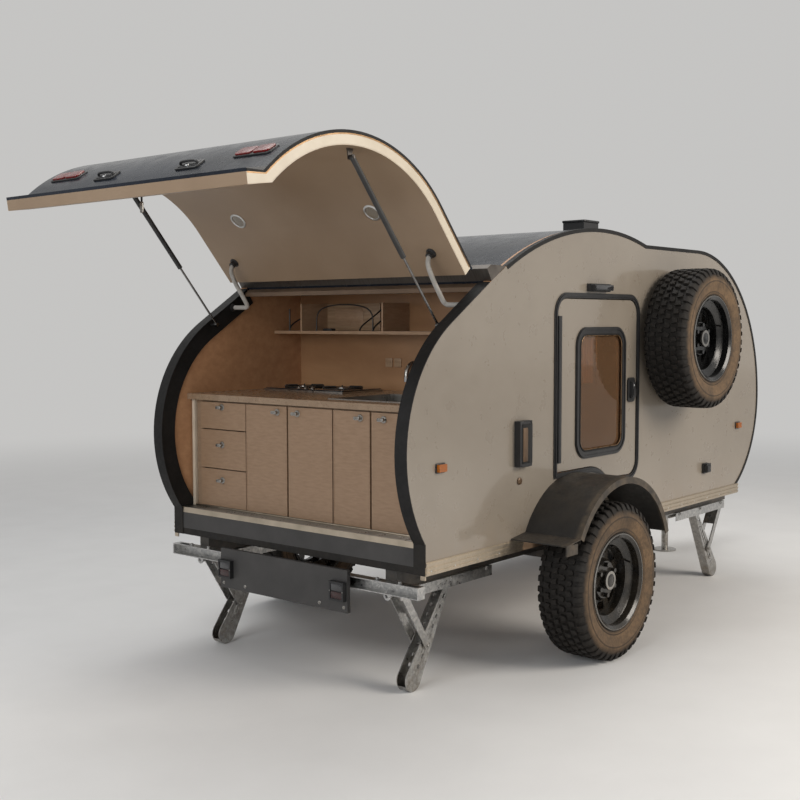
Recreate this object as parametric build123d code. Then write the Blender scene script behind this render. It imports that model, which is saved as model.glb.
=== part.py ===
from build123d import *
import os
from math import acos, atan2, cos, degrees, hypot, pi, radians, sin, sqrt

# Teardrop trailer with a rear galley, in millimetres. X points forward to the coupler, Y to the
# left and Z up. Every piece is drawn with X = 0 at the axle and Z = 0 at the ground. The last
# lines move all pieces along X, so that the origin lies under the middle of the whole length.

os.makedirs("parts", exist_ok=True)

TOUCH = 0.3               # clearance between pieces on different bodies that seat together
RUNNING = 0.05            # radial clearance of a pin in its hole
FIT = 5.0                 # gap round doors, fronts and other moving pieces

# Body shell
WALL_Y = 767.5            # outer face of a side wall
WALL = 40.0               # thickness of the walls, doors and roof
BODY_BOTTOM = 585.0       # lower edge of the side walls
REAR_X = -1071.0          # upright part of the walls' rear edge
REAR_MOST_X = -1187.0     # rearmost point of the rear arc
REAR_BELLY_Z = 1013.0     # height of that point
REAR_R = 612.0
SLOPE = 122.569           # degrees from X to the direction that the straight rear stretch faces
ROOF_TOP_Z = 1971.0       # crown of the roof arc
ROOF_R = 1688.0
ROOF_FLAT_Z = 1915.0      # level front stretch of the roof
NOSE_X = 1300.0           # where the level stretch turns down into the nose
NOSE_R = 830.0
CHIN_TURN = 58.092        # degrees turned by the tighter arc below the nose
FLOOR = 55.0              # floor sandwich under the walls
FLOOR_LIP = 12.0          # side strips in front of the chin
FLOOR_BACK = 8.0          # floor behind the chin
REAR_DEPTH = 40.0         # rear panel in front of the walls' rear edge

# Rear end below the galley
PANEL_TOP = 635.0
PANEL_BOTTOM = 560.0
STRIP_BOTTOM = 530.0      # black strip under the panel
SILL = 25.0
SILL_DEPTH = 75.0
TRIM_T = 4.0              # aluminium strips along the floor's edge
RIB_H = 9.0               # their three ribs
RIB_T = 4.0
RIB_PITCH = 19.0

# Galley
BULKHEAD_X = -248.0       # face towards the galley
BULKHEAD = 18.0
BOARD = 16.0              # cabinet boards
CABINET_IN = 71.0         # fronts ahead of the walls' rear edge
WORKTOP_Z = 1197.0
WORKTOP = 28.0
WORKTOP_LIP = 20.0
SIDE_GAP = 1.0            # cabinet to the wall
DRAWER_Y = (345.0, 655.0)
DRAWER_DEPTH = 380.0
DRAWERS = (("top", 1035.0, 1160.0), ("middle", 850.0, 1030.0), ("bottom", 670.0, 845.0))
TRAY_IN = 30.0            # side of a tray inside the edge of its front
TRAY_T = 12.0             # its sides
TRAY_UNDER = 15.0         # bottom of a tray above the lower edge of its front
TRAY_FLOOR = 10.0
TRAY_OVER = 25.0          # top of a tray below the upper edge of its front
RUNNER = (40.0, 60.0)     # runner above the lower edge of a front
DOORS_Y = (-640.0, 340.0)
COLUMNS = ((75.0, 340.0), (-200.0, 70.0), (-415.0, -205.0), (-640.0, -420.0))
DOOR_SIDE = 2.5           # cabinet door inside its column
BARREL_R = 2.4            # hinge barrel of a cabinet door
SINK = (-890.0, -500.0, -520.0, -100.0)
SINK_DEPTH = 130.0
SINK_RIM = 15.0
SINK_T = 3.0
HOB = (-600.0, -310.0, 110.0, 640.0)
HOB_T = 8.0
BURNERS = ((-450.0, 245.0), (-450.0, 505.0))
BURNER_R = 48.0
BURNER_H = 6.0
CAP_R = 30.0
CAP_T = 6.0
TAP = (-450.0, -265.0)
TAP_R = 11.0
TAP_BASE_R = 24.0
TAP_BASE_H = 12.0
TAP_H = 150.0
TAP_REACH = 130.0
TAP_DROP = 75.0
TAP_BEND = 55.0
SHELF_Z = 1475.0
SHELF_D = 198.0
SHELF_T = 15.0
SHELF_Y = (-700.0, 722.0)
DIVIDERS = (530.0, -6.0)
DIVIDER = 10.0
DIVIDER_H = 150.0
HEADER_X = -650.0         # beam across the top of the galley
HEADER_Z = 1661.0
HEADER_D = 50.0
HEADER_COVER = 10.0       # its upper face inside the roof's

# Hatch
HATCH_GAP = 5.0           # between its inner face and the walls' edges
HATCH = 55.0              # thickness
HATCH_SKIN = 12.0         # dark outer part of that
HATCH_Y = 718.0           # half its width
HATCH_BOTTOM = 540.0
HATCH_TOP_BACK = 10.0     # inner part set back from the skin at the hinge
HINGE_BACK = 9.4          # hinge line below the upper end of the straight stretch
HINGE_LAND = 8.0          # from there to the roof's rear end
HINGE_RISE = 22.6         # pin above the outer face of the closed hatch
HINGE_BARREL_R = 11.0
HINGE_SETS = (-600.0, -200.0, 200.0, 600.0)
KNUCKLE = 30.0            # half the length of the middle knuckle
KNUCKLE_GAP = 1.0
FIXED_EAR = (9.0, 38.0)   # foot of the middle knuckle's ear, along the slope
MOVING_EAR = 45.0
HATCH_OPEN = 82.0         # degrees from closed to open
RAIL_LAND = 32.0          # flat top of the hinge rail
RAIL_RAMP = 130.0         # front end of its ramp

# Seals and edge strips
SEAL = 4.0                # black seal on the walls' rear edges
SEAL_W = 60.0
SEAL_LIP = 12.0           # its band on the inner face
SEAL_DEPTH = 80.0
SEAL_BACK = 6.0           # its upper end below the hinge line
EDGE_T = 3.0              # black angle along the roof's edges
EDGE_FACE = 14.0
EDGE_TOP = 22.0
EDGE_START = 5.0          # in front of the hinge rail

# Side doors
DOOR_REAR = -142.0
DOOR_FRONT = 649.0
DOOR_BOTTOM = 744.0
DOOR_TOP = 1667.0
DOOR_R = 100.0
DOOR_TRIM = 24.0          # width of the frame on the wall
DOOR_TRIM_T = 6.0
BEAD = (7.0, 16.0)        # raised bead on the frame, from its outer edge
BEAD_T = 4.0
STEP_CLEAR = 13.0         # door leaf above the wing's crown
STEP_X = 160.0            # where the door's lower edge starts to curve down
STEP_R = 291.5
WINDOW_REAR = 42.0
WINDOW_FRONT = 507.0
WINDOW_BOTTOM = 889.0
WINDOW_TOP = 1508.0
WINDOW_R = 90.0
WINDOW_TRIM = 38.0
WINDOW_BEAD = (4.0, 14.0)
GLASS = 5.0
GLASS_BACK = 12.0         # outer face of the wall to the back of the glass
HANDLE = (530.0, 600.0, 1135.0, 1255.0)
HANDLE_T = 8.0
HANDLE_R = 18.0
PADDLE_IN = 16.0
PADDLE_R = 12.0
PADDLE_T = 18.0
DOOR_HINGE_R = 7.0
DOOR_HINGE_Z = (890.0, 1560.0)
DOOR_HINGE_W = 20.0

# Wheels
TYRE_R = 360.0
TYRE_W = 235.0
BEAD_R = 206.0
BEAD_W = 97.0             # middle to the outer face of a bead
BEAD_T_IN = 18.0
BELLY_R = 285.0
SHOULDER_R = 334.0
SHOULDER_W = 108.0
TREAD_BASE = 346.0
TREAD_W = 90.0
LINER_R = 324.0
LINER_W = 84.0
PITCHES = 16
LUG_IN = 56.0             # inner end of a shoulder lug
LUG_OUT = 105.0
LUG_TURN = 12.9           # degrees that a lug covers
LUG_ROOT = 328.0
TRACK_Y = 927.0
LIP_R = 219.0
LIP_W = 9.0
RIM_T = 6.0
WELL_R = 168.0
SEAT_W = 30.0
WELL_W = 48.0
DISC_OUT = 10.0           # outer face of the wheel disc, outboard of the wheel's middle
DISC_T = 8.0
DISC_DIP = 6.0
HAT_R = 92.0              # raised middle of the disc, where the nuts sit
HAT_RISE = 22.0
HAT_SLOPE = 14.0
WINDOWS = 8
WINDOW_IN_R = 108.0
WINDOW_OUT_R = 150.0
SPOKE = 15.0              # degrees left between two windows
NUTS = 6
NUT_R = 11.0
NUT_H = 18.0
NUT_CIRCLE_R = 69.85
HUB_CAP_R = 42.0
HUB_CAP_H = 30.0
HUB_R = 52.0
HUB_L = 110.0
HUB_END = 12.0
SPINDLE_R = 20.0
STUB_R = 32.0
SPARE_X = 990.0
SPARE_Z = 1446.0
SPARE_Y = 905.0
BRACKET_R = 45.0
BRACKET_PLATE_R = 90.0
BRACKET_PLATE = 8.0

# Wings
WING_C = (20.0, 390.0)
WING_R = 445.0
WING_T = 5.0
WING_LIP = 30.0
WING_Y = 1050.0
WING_START = 18.8         # degrees, front end
WING_END = 150.4          # degrees, where the level rear plate begins
WING_TAIL_X = -480.0
WING_TAIL_DROP = 15.0
WING_SKIRT = 45.0         # upright plate at the tail's outer corner
WING_SKIRT_L = 90.0

# Chassis
RAIL_Y = 575.0            # middle of a rail
RAIL_W = 60.0
RAIL_H = 80.0
RAIL_FRONT = 2060.0
CROSS_W = 60.0
CROSS_MEMBERS = (-500.0, 190.0, 1250.0)
CROSS_DROP = 10.0
DRAW_REAR = 1250.0
DRAW_FRONT = 2860.0       # where the drawbar's two arms meet
DRAW_H = 70.0
ARM_INSET = 15.0          # drawbar arm inside the rail
ARM_W = 60.0
TONGUE_W = 45.0           # half the width of the tongue
TONGUE_L = 60.0
TONGUE = 300.0            # apex of the gap between the arms, behind the point where they meet
TONGUE_GAP = 30.0
BAR = (-29.0, 16.0)       # rear cross bar, from the walls' rear edge
BAR_Y = 750.0
BAR_Z = (435.0, 485.0)
BAR_T = 4.0
AXLE_X = 190.0
AXLE_SIDE = 70.0
ARM_Y = 680.0
ARM_T = 22.0
COUPLER_END = 3150.0
NECK_W = 35.0
NECK_END = 70.0
BALL_R = 25.2
BALL_IN = 45.0            # middle of the ball behind the coupler's front end
SOCKET_Z = 400.0
SOCKET_R = 44.0
SOCKET_H = 90.0
SOCKET_WALL = 20.0        # straight part of the bore
GRIP = (-150.0, -20.0, 30.0, 62.0)
GRIP_W = 14.0

# Corner steadies
PIVOT_Z = 425.0
BRACE_L = 290.0           # brace pin to joint, and leg top to joint
STEADY_ANGLE = 57.55      # degrees, leg and brace from level
STEADY_FOLDED = 8.0
LEG_W = 50.0
LEG_TOP_R = 15.0
LEG_FOOT_R = 50.0
LEG_T = 4.0
LEG_HOLES = (70.0, 115.0, 160.0, 205.0, 340.0, 385.0)
LEG_HOLE_R = 9.0
BRACE_T = 6.0
BRACE_R = 18.0
BRACE_WEB = (25.0, 135.0)
STEADY_GAP = 5.0
PIN_R = 6.0
CHANNEL_T = 4.0
CHANNEL_DROP = 20.0       # below the pins
CHANNEL_END = 30.0
BRACE_IN = (54.0, 70.0)   # brace pins from the walls' rear edge and the rails' front end

# Jack
JACK_X = 2470.0
JACK_R = 28.0
JACK_LEG_R = 22.0
JACK_TOP = 820.0
JACK_HEAD = 60.0
JACK_TUBE_BOTTOM = 300.0
JACK_LEG_TOP = 545.0
JACK_FOOT_R = 75.0
JACK_FOOT_T = 8.0
JACK_FLANGE = (60.0, 130.0, 8.0)
CRANK_R = 7.0
CRANK_UP = 28.0
CRANK_REACH = 110.0
CRANK_GRIP_R = 12.0
CRANK_GRIP = 80.0

# Gas struts
STRUT_Y = 675.0
STRUT_TUBE_R = 11.0
STRUT_TUBE_L = 463.4
STRUT_PLUG = 30.0         # solid upper end of the tube
STRUT_ROD_R = 5.0
STRUT_ROD_IN = 100.0      # rod inside the tube when the hatch is open
STRUT_ON_HATCH = (29.13, 169.524)   # inside the rear arc, and degrees round it, hatch closed
STRUT_ON_WALL = (21.17, 120.515)
STRUT_EYE_R = 10.0
STRUT_EYE_W = 14.0
STUD_R = 5.0
BRACKET_T = 5.0
BRACKET_HALF = 16.0
BRACKET_NOSE = 8.0

# Wiring conduits
CONDUIT_R = 11.0
CONDUIT_Y = 600.0
CONDUIT_START = 130.0     # on the hatch, below the hinge line
CONDUIT_OUT = 42.0        # out of the hatch to the first bend
CONDUIT_END = (184.0, 27.0)          # on the wall, along the slope and inside it
CONDUIT_BEND = 45.0

# Fittings on the body
BOARD_T = 18.0            # light board
LIGHT_BOARD = (390.0, 330.0, 510.0)
LAMP = (305.0, 385.0, 380.0, 460.0)
LAMP_T = 22.0
LAMP_EDGE = 8.0
LAMP_CUT = 6.0
VENT = (-455.0, -362.0, 905.0, 1105.0)
VENT_T = 30.0
VENT_EDGE = 14.0
VENT_CUT = 20.0
LOUVRES = 5
LOUVRE = 6.0
INLET = (1388.0, 1448.0, 690.0, 745.0)
INLET_T = 14.0
INLET_LID = 6.0
INLET_LID_T = 16.0
PORCH = (140.0, 320.0, 1675.0, 1712.0)
PORCH_T = 24.0
PORCH_IN = 5.0
PORCH_LENS_T = 18.0
ROOF_VENT = (420.0, 560.0, -580.0, -460.0)
ROOF_VENT_Z = (1900.0, 2035.0)
LOCK = (-419.0, 841.0)
LOCK_R = 14.0
LOCK_T = 6.0
MARKERS = ((-980.0, 953.0), (1849.0, 928.0))
MARKER = (25.0, 15.0)
MARKER_T = 18.0
BED_GAP = 10.0
BED_FRONT = 1400.0
BED_SIDE = 15.0
BED_H = 110.0
BED_ROUND = 25.0

SIDES = (("right", -1), ("left", 1))
INNER_Y = WALL_Y - WALL
CABINET_X = REAR_X + CABINET_IN
CABINET_BOTTOM = PANEL_TOP + SILL
RAIL_TOP = BODY_BOTTOM - FLOOR
RAIL_BOTTOM = RAIL_TOP - RAIL_H


# Shape helpers

def at(p, y=0.0):
    return Vector(p[0], y, p[1])


def on_circle(centre, r, deg):
    return (centre[0] + r * cos(radians(deg)), centre[1] + r * sin(radians(deg)))


def outline(start, *steps):
    """A face in the XZ plane. A step is ("line", end) or ("arc", middle, end)."""
    edges = []
    here = start
    for step in steps:
        if step[0] == "line":
            edges.append(Line(at(here), at(step[1])))
        else:
            edges.append(ThreePointArc(at(here), at(step[1]), at(step[2])))
        here = step[-1]
    if hypot(here[0] - start[0], here[1] - start[1]) > 1e-6:
        edges.append(Line(at(here), at(start)))
    return Face(Wire(edges))


def polygon(*points):
    return outline(points[0], *[("line", p) for p in points[1:]])


def prism(face, y0, y1):
    """Extrudes a face in the XZ plane from y0 to y1."""
    return extrude(face.moved(Location((0, y0, 0))), amount=y1 - y0, dir=(0, 1, 0))


def box(x0, x1, y0, y1, z0, z1):
    size = (abs(x1 - x0), abs(y1 - y0), abs(z1 - z0))
    middle = ((x0 + x1) / 2, (y0 + y1) / 2, (z0 + z1) / 2)
    return Solid.make_box(*size).moved(Location([m - s / 2 for m, s in zip(middle, size)]))


def rod(p, q, r):
    """A round bar from p to q."""
    p = Vector(*p)
    q = Vector(*q)
    return Solid.make_cylinder(r, (q - p).length, Plane(origin=p, z_dir=q - p))


def disc_y(x, z, r, y0, y1):
    return rod((x, min(y0, y1), z), (x, max(y0, y1), z), r)


def rounded(x0, x1, z0, z1, r):
    """A rectangle with round corners in the XZ plane."""
    k = r * (1 - sqrt(0.5))
    return outline(
        (x0 + r, z0), ("line", (x1 - r, z0)), ("arc", (x1 - k, z0 + k), (x1, z0 + r)),
        ("line", (x1, z1 - r)), ("arc", (x1 - k, z1 - k), (x1 - r, z1)),
        ("line", (x0 + r, z1)), ("arc", (x0 + k, z1 - k), (x0, z1 - r)),
        ("line", (x0, z0 + r)), ("arc", (x0 + k, z0 + k), (x0 + r, z0)))


def link(p, q, rp, rq):
    """The outline round two circles and the two lines that touch both."""
    turn = atan2(q[1] - p[1], q[0] - p[0])
    lean = acos((rp - rq) / hypot(q[0] - p[0], q[1] - p[1]))

    def rim(c, r, a):
        return (c[0] + r * cos(turn + a), c[1] + r * sin(turn + a))

    return outline(rim(p, rp, lean), ("arc", rim(p, rp, pi), rim(p, rp, -lean)),
                   ("line", rim(q, rq, -lean)), ("arc", rim(q, rq, 0), rim(q, rq, lean)))


def plan_prism(z, *points):
    """A flat slab between the two heights z, with straight edges seen from above."""
    corners = [Vector(x, y, z[0]) for x, y in points]
    edges = [Line(a, b) for a, b in zip(corners, corners[1:] + corners[:1])]
    return extrude(Face(Wire(edges)), amount=z[1] - z[0], dir=(0, 0, 1))


def pipe(points, r, bend):
    """A round tube's outer shape along straight runs with rounded corners."""
    route = FilletPolyline(*points, radius=bend)
    return sweep(Plane(origin=route @ 0, z_dir=route % 0) * Circle(r), path=route)


def span(side, y0, y1):
    """Two offsets from the middle, on one side, in rising order."""
    return sorted((side * y0, side * y1))


pieces = {}


def save(name, *solids):
    """Keeps the solids of one node until every piece is known."""
    pieces[name] = [s for shape in solids for s in shape.solids()]


# Body profile, inset by d from the walls' outer edge

REAR_ARC = (REAR_MOST_X + REAR_R, REAR_BELLY_Z)
NORMAL = (cos(radians(SLOPE)), sin(radians(SLOPE)))
ALONG = (NORMAL[1], -NORMAL[0])                     # up the straight stretch, forward
ROOF_Z = ROOF_TOP_Z - ROOF_R
ROOF_ARC = (REAR_ARC[0] + (REAR_R - ROOF_R - (ROOF_Z - REAR_ARC[1]) * NORMAL[1]) / NORMAL[0],
            ROOF_Z)
STRAIGHT = (ROOF_ARC[0] - REAR_ARC[0]) * ALONG[0] + (ROOF_ARC[1] - REAR_ARC[1]) * ALONG[1]
NOSE_C = (NOSE_X, ROOF_FLAT_Z - NOSE_R)
CHIN_R = (NOSE_C[1] - BODY_BOTTOM) / sin(radians(CHIN_TURN))
CHIN_C = (NOSE_X + NOSE_R - CHIN_R, NOSE_C[1])
CHIN_X = CHIN_C[0] + CHIN_R * cos(radians(CHIN_TURN))
FLOOR_REAR = REAR_X + REAR_DEPTH
HINGE_FOOT = STRAIGHT - HINGE_BACK
ROOF_END = HINGE_FOOT + HINGE_LAND


def slope_point(s, d):
    """A point at s up the straight stretch from its lower end, d inside it."""
    low = (REAR_ARC[0] + (REAR_R - d) * NORMAL[0], REAR_ARC[1] + (REAR_R - d) * NORMAL[1])
    return (low[0] + s * ALONG[0], low[1] + s * ALONG[1])


def slope_at(x, d):
    """The point of the straight stretch's line, d inside it, at a given x."""
    low = slope_point(0, d)
    return (x, low[1] + (x - low[0]) / ALONG[0] * ALONG[1])


def rear_foot(d):
    """Where the rear arc meets the upright rear edge."""
    reach = REAR_X + d - REAR_ARC[0]
    return (REAR_X + d, REAR_ARC[1] - sqrt((REAR_R - d) ** 2 - reach ** 2))


def roof_kink(d):
    rise = ROOF_FLAT_Z - d - ROOF_ARC[1]
    return (ROOF_ARC[0] + sqrt((ROOF_R - d) ** 2 - rise ** 2), ROOF_FLAT_Z - d)


def on_arc(centre, r, p, q):
    """The middle of the arc from p to q, on the side away from the centre."""
    m = ((p[0] + q[0]) / 2 - centre[0], (p[1] + q[1]) / 2 - centre[1])
    k = r / hypot(*m)
    return (centre[0] + m[0] * k, centre[1] + m[1] * k)


def chin_point(d, z):
    return (CHIN_C[0] + sqrt((CHIN_R - d) ** 2 - (CHIN_C[1] - z) ** 2), z)


def body(d, z=BODY_BOTTOM):
    """The whole side view, inset by d, from height z up."""
    low = slope_point(0, d)
    top = slope_point(STRAIGHT, d)
    kink = roof_kink(d)
    crown = (NOSE_X, ROOF_FLAT_Z - d)
    tip = (NOSE_X + NOSE_R - d, NOSE_C[1])
    chin = chin_point(d, z)
    return outline((REAR_X + d, z), ("line", rear_foot(d)),
                   ("arc", on_circle(REAR_ARC, REAR_R - d, 180.0), low), ("line", top),
                   ("arc", on_arc(ROOF_ARC, ROOF_R - d, top, kink), kink), ("line", crown),
                   ("arc", on_arc(NOSE_C, NOSE_R - d, crown, tip), tip),
                   ("arc", on_arc(CHIN_C, CHIN_R - d, tip, chin), chin))


def ring(d0, d1, y0, y1):
    """What lies between the insets d0 and d1 of the side view."""
    return prism(body(d0), y0, y1) - prism(body(d1, BODY_BOTTOM - 1), y0 - 1, y1 + 1)


def rear_band(d0, d1, s, z):
    """A band along the rear edge from s up the straight stretch down to height z."""
    path = [(slope_point(s, d), slope_point(0, d), on_circle(REAR_ARC, REAR_R - d, 180.0),
             rear_foot(d), (REAR_X + d, z)) for d in (d0, d1)]
    a, b = path
    return outline(a[0], ("line", a[1]), ("arc", a[2], a[3]), ("line", a[4]), ("line", b[4]),
                   ("line", b[3]), ("arc", b[2], b[1]), ("line", b[0]))


def ahead_of(s):
    """A slab that holds the roof and nose in front of the point s of the slope."""
    low = slope_point(s, 2 * WALL)
    top = slope_point(s, -2 * WALL)
    high = ROOF_TOP_Z + 2 * WALL
    front = NOSE_X + NOSE_R + 2 * WALL
    face = polygon(low, top, (top[0], high), (front, high), (front, BODY_BOTTOM - WALL),
                   (NOSE_X, BODY_BOTTOM - WALL), (NOSE_X, ROOF_FLAT_Z - NOSE_R),
                   (low[0] + 4 * WALL, low[1] - WALL))
    return prism(face, -2 * WALL_Y, 2 * WALL_Y)


# Side walls and doors

def door_face(inset):
    """The door's outline with its lower rear corner stepped up over the wing."""
    face = rounded(DOOR_REAR + inset, DOOR_FRONT - inset, DOOR_BOTTOM + inset, DOOR_TOP - inset,
                   DOOR_R - inset)
    r = STEP_R - DOOR_TRIM - FIT + inset
    centre = (STEP_X, WING_C[1] + WING_R + STEP_CLEAR - STEP_R)
    step = outline((DOOR_REAR - 1, centre[1]), ("line", (centre[0] + r, centre[1])),
                   ("arc", on_circle(centre, r, 45.0), on_circle(centre, r, 90.0)),
                   ("line", (DOOR_REAR - 1, centre[1] + r)))
    return (face - step).faces()[0]


def window_face(inset):
    return rounded(WINDOW_REAR + inset, WINDOW_FRONT - inset, WINDOW_BOTTOM + inset,
                   WINDOW_TOP - inset, WINDOW_R - inset)


def frame_on_wall(face, width, bead, side):
    """A flat frame on a wall's outer face with a raised bead along it."""
    flat = prism(face(0), *span(side, WALL_Y, WALL_Y + DOOR_TRIM_T))
    flat -= prism(face(width), *span(side, WALL_Y - 1, WALL_Y + DOOR_TRIM_T + 1))
    top = WALL_Y + DOOR_TRIM_T + BEAD_T
    raised = prism(face(bead[0]), *span(side, WALL_Y + DOOR_TRIM_T, top))
    raised -= prism(face(bead[1]), *span(side, WALL_Y + DOOR_TRIM_T - 1, top + 1))
    return flat + raised


DOOR_HINGE_X = DOOR_REAR + DOOR_TRIM + FIT / 2
DOOR_HINGE_Y = WALL_Y + DOOR_TRIM_T + DOOR_HINGE_R
door_frames = []
for name, side in SIDES:
    wall = prism(body(0), *span(side, INNER_Y, WALL_Y))
    wall -= prism(door_face(DOOR_TRIM), *span(side, INNER_Y - 1, WALL_Y + 1))
    save(f"side_wall_{name}", wall)

    frame = frame_on_wall(door_face, DOOR_TRIM, BEAD, side)
    frame -= disc_y(*WING_C, WING_R + TOUCH, *span(side, WALL_Y - 1, WALL_Y + DOOR_TRIM))
    frame -= box(DOOR_HINGE_X - DOOR_HINGE_R - 1, DOOR_HINGE_X + DOOR_HINGE_R,
                 *span(side, WALL_Y + DOOR_TRIM_T, WALL_Y + DOOR_TRIM),
                 DOOR_HINGE_Z[0] - 1, DOOR_HINGE_Z[1] + 1)
    door_frames.append(frame)

    leaf = prism(door_face(DOOR_TRIM + FIT), *span(side, INNER_Y, WALL_Y))
    leaf -= prism(window_face(WINDOW_TRIM / 2), *span(side, INNER_Y - 1, WALL_Y + 1))
    save(f"door_{name}", leaf)

    trim = frame_on_wall(window_face, WINDOW_TRIM, WINDOW_BEAD, side)
    handle = prism(rounded(*HANDLE, HANDLE_R), *span(side, WALL_Y, WALL_Y + HANDLE_T))
    paddle = rounded(HANDLE[0] + PADDLE_IN, HANDLE[1] - PADDLE_IN, HANDLE[2] + PADDLE_IN,
                     HANDLE[3] - PADDLE_IN, PADDLE_R)
    handle += prism(paddle, *span(side, WALL_Y, WALL_Y + PADDLE_T))
    hinge = rod((DOOR_HINGE_X, side * DOOR_HINGE_Y, DOOR_HINGE_Z[0]),
                (DOOR_HINGE_X, side * DOOR_HINGE_Y, DOOR_HINGE_Z[1]), DOOR_HINGE_R)
    hinge += box(DOOR_HINGE_X, DOOR_HINGE_X + DOOR_HINGE_W, *span(side, WALL_Y, DOOR_HINGE_Y),
                 *DOOR_HINGE_Z)
    save(f"door_trim_{name}", trim, handle, hinge)

    save(f"door_glass_{name}", prism(window_face(WINDOW_TRIM / 2), *span(
        side, WALL_Y - GLASS_BACK, WALL_Y - GLASS_BACK + GLASS)))

save("door_frames", *door_frames)

# Floor, roof, bulkhead and rear end

save("floor", box(FLOOR_REAR, CHIN_X - FLOOR_BACK, -WALL_Y, WALL_Y, RAIL_TOP, BODY_BOTTOM))
save("roof", ring(0, WALL, -INNER_Y, INNER_Y) & ahead_of(ROOF_END))
save("bulkhead", prism(body(WALL), -INNER_Y, INNER_Y)
     & box(BULKHEAD_X, BULKHEAD_X + BULKHEAD, -WALL_Y, WALL_Y, BODY_BOTTOM, ROOF_TOP_Z))

LEVELS = (PANEL_BOTTOM, BODY_BOTTOM, PANEL_TOP)
rear = box(REAR_X, FLOOR_REAR, -WALL_Y, WALL_Y, LEVELS[0], LEVELS[1])
rear += box(REAR_X, FLOOR_REAR, -INNER_Y, INNER_Y, LEVELS[1], LEVELS[2])
strip = box(REAR_X, FLOOR_REAR, -WALL_Y, WALL_Y, STRIP_BOTTOM, PANEL_BOTTOM)
sill = box(REAR_X, REAR_X + SILL_DEPTH, -INNER_Y, INNER_Y, PANEL_TOP, PANEL_TOP + SILL)
trims = []
for name, side in SIDES:
    trim = box(REAR_X, CHIN_X + FLOOR_LIP, *span(side, WALL_Y, WALL_Y + TRIM_T), RAIL_TOP,
               BODY_BOTTOM)
    for k in range(3):
        z = RAIL_TOP + RIB_H / 2 + k * RIB_PITCH
        trim += box(REAR_X, CHIN_X + FLOOR_LIP, *span(side, WALL_Y, WALL_Y + TRIM_T + RIB_T), z,
                    z + RIB_H)
    trims.append(trim - disc_y(*WING_C, WING_R + TOUCH, *span(side, WALL_Y - 1, WALL_Y + SILL)))
save("aluminium_trims", sill, *trims)

# Galley

SHELL_X = CABINET_X + BOARD + TOUCH
UNDER_TOP = WORKTOP_Z - WORKTOP
carcass = box(SHELL_X, BULKHEAD_X, -INNER_Y + SIDE_GAP, INNER_Y - SIDE_GAP, CABINET_BOTTOM,
              UNDER_TOP)
for y0, y1 in (DRAWER_Y, DOORS_Y):
    carcass -= box(SHELL_X - 1, BULKHEAD_X - BOARD, y0 + BOARD / 2, y1 - BOARD / 2,
                   CABINET_BOTTOM + BOARD, UNDER_TOP - BOARD)
carcass -= box(*SINK, WORKTOP_Z - SINK_DEPTH - FIT, WORKTOP_Z)
for name, z0, z1 in DRAWERS:
    for y0, y1 in ((DRAWER_Y[0] + BOARD / 2, DRAWER_Y[0] + TRAY_IN - TOUCH),
                   (DRAWER_Y[1] - TRAY_IN + TOUCH, DRAWER_Y[1] - BOARD / 2)):
        carcass += box(SHELL_X, BULKHEAD_X - BOARD, y0, y1, z0 + RUNNER[0], z0 + RUNNER[1])
save("galley_carcass", carcass)

TRAY_X = CABINET_X + BOARD
for name, z0, z1 in DRAWERS:
    front = box(CABINET_X, TRAY_X, *DRAWER_Y, z0, z1)
    tray = box(TRAY_X, TRAY_X + DRAWER_DEPTH, DRAWER_Y[0] + TRAY_IN, DRAWER_Y[1] - TRAY_IN,
               z0 + TRAY_UNDER, z1 - TRAY_OVER)
    tray -= box(TRAY_X, TRAY_X + DRAWER_DEPTH - TRAY_T, DRAWER_Y[0] + TRAY_IN + TRAY_T,
                DRAWER_Y[1] - TRAY_IN - TRAY_T, z0 + TRAY_UNDER + TRAY_FLOOR, z1)
    save(f"drawer_{name}", front + tray)

DOOR_Z = (DRAWERS[2][1], DRAWERS[0][2])
for number, (y0, y1) in enumerate(COLUMNS, 1):
    edge = y1 - DOOR_SIDE if number % 2 else y0 + DOOR_SIDE
    save(f"cabinet_door_{number}", box(CABINET_X, TRAY_X, y0 + DOOR_SIDE, y1 - DOOR_SIDE, *DOOR_Z)
         + rod((CABINET_X, edge, DOOR_Z[0]), (CABINET_X, edge, DOOR_Z[1]), BARREL_R))

top = box(CABINET_X - WORKTOP_LIP, BULKHEAD_X, -INNER_Y, INNER_Y, UNDER_TOP, WORKTOP_Z)
save("worktop", top - box(*SINK, UNDER_TOP - 1, WORKTOP_Z + 1))


def sink_box(grow, z0, z1):
    return box(SINK[0] - grow, SINK[1] + grow, SINK[2] - grow, SINK[3] + grow, z0, z1)


bowl = sink_box(-1, WORKTOP_Z - SINK_DEPTH, WORKTOP_Z)
bowl += sink_box(SINK_RIM, WORKTOP_Z, WORKTOP_Z + SINK_T)
bowl -= sink_box(-1 - SINK_T, WORKTOP_Z - SINK_DEPTH + SINK_T, WORKTOP_Z + 2 * SINK_T)
hob = box(*HOB, WORKTOP_Z, WORKTOP_Z + HOB_T)
for x, y in BURNERS:
    z = WORKTOP_Z + HOB_T + BURNER_H
    hob += rod((x, y, WORKTOP_Z), (x, y, z), BURNER_R)
    hob += rod((x, y, z), (x, y, z + CAP_T), CAP_R)
crown = WORKTOP_Z + TAP_H
tap = pipe(((*TAP, WORKTOP_Z), (*TAP, crown), (TAP[0] - TAP_REACH, TAP[1], crown),
            (TAP[0] - TAP_REACH, TAP[1], crown - TAP_DROP)), TAP_R, TAP_BEND)
tap += rod((*TAP, WORKTOP_Z), (*TAP, WORKTOP_Z + TAP_BASE_H), TAP_BASE_R)
save("sink_and_hob", bowl, hob, tap)

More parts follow.
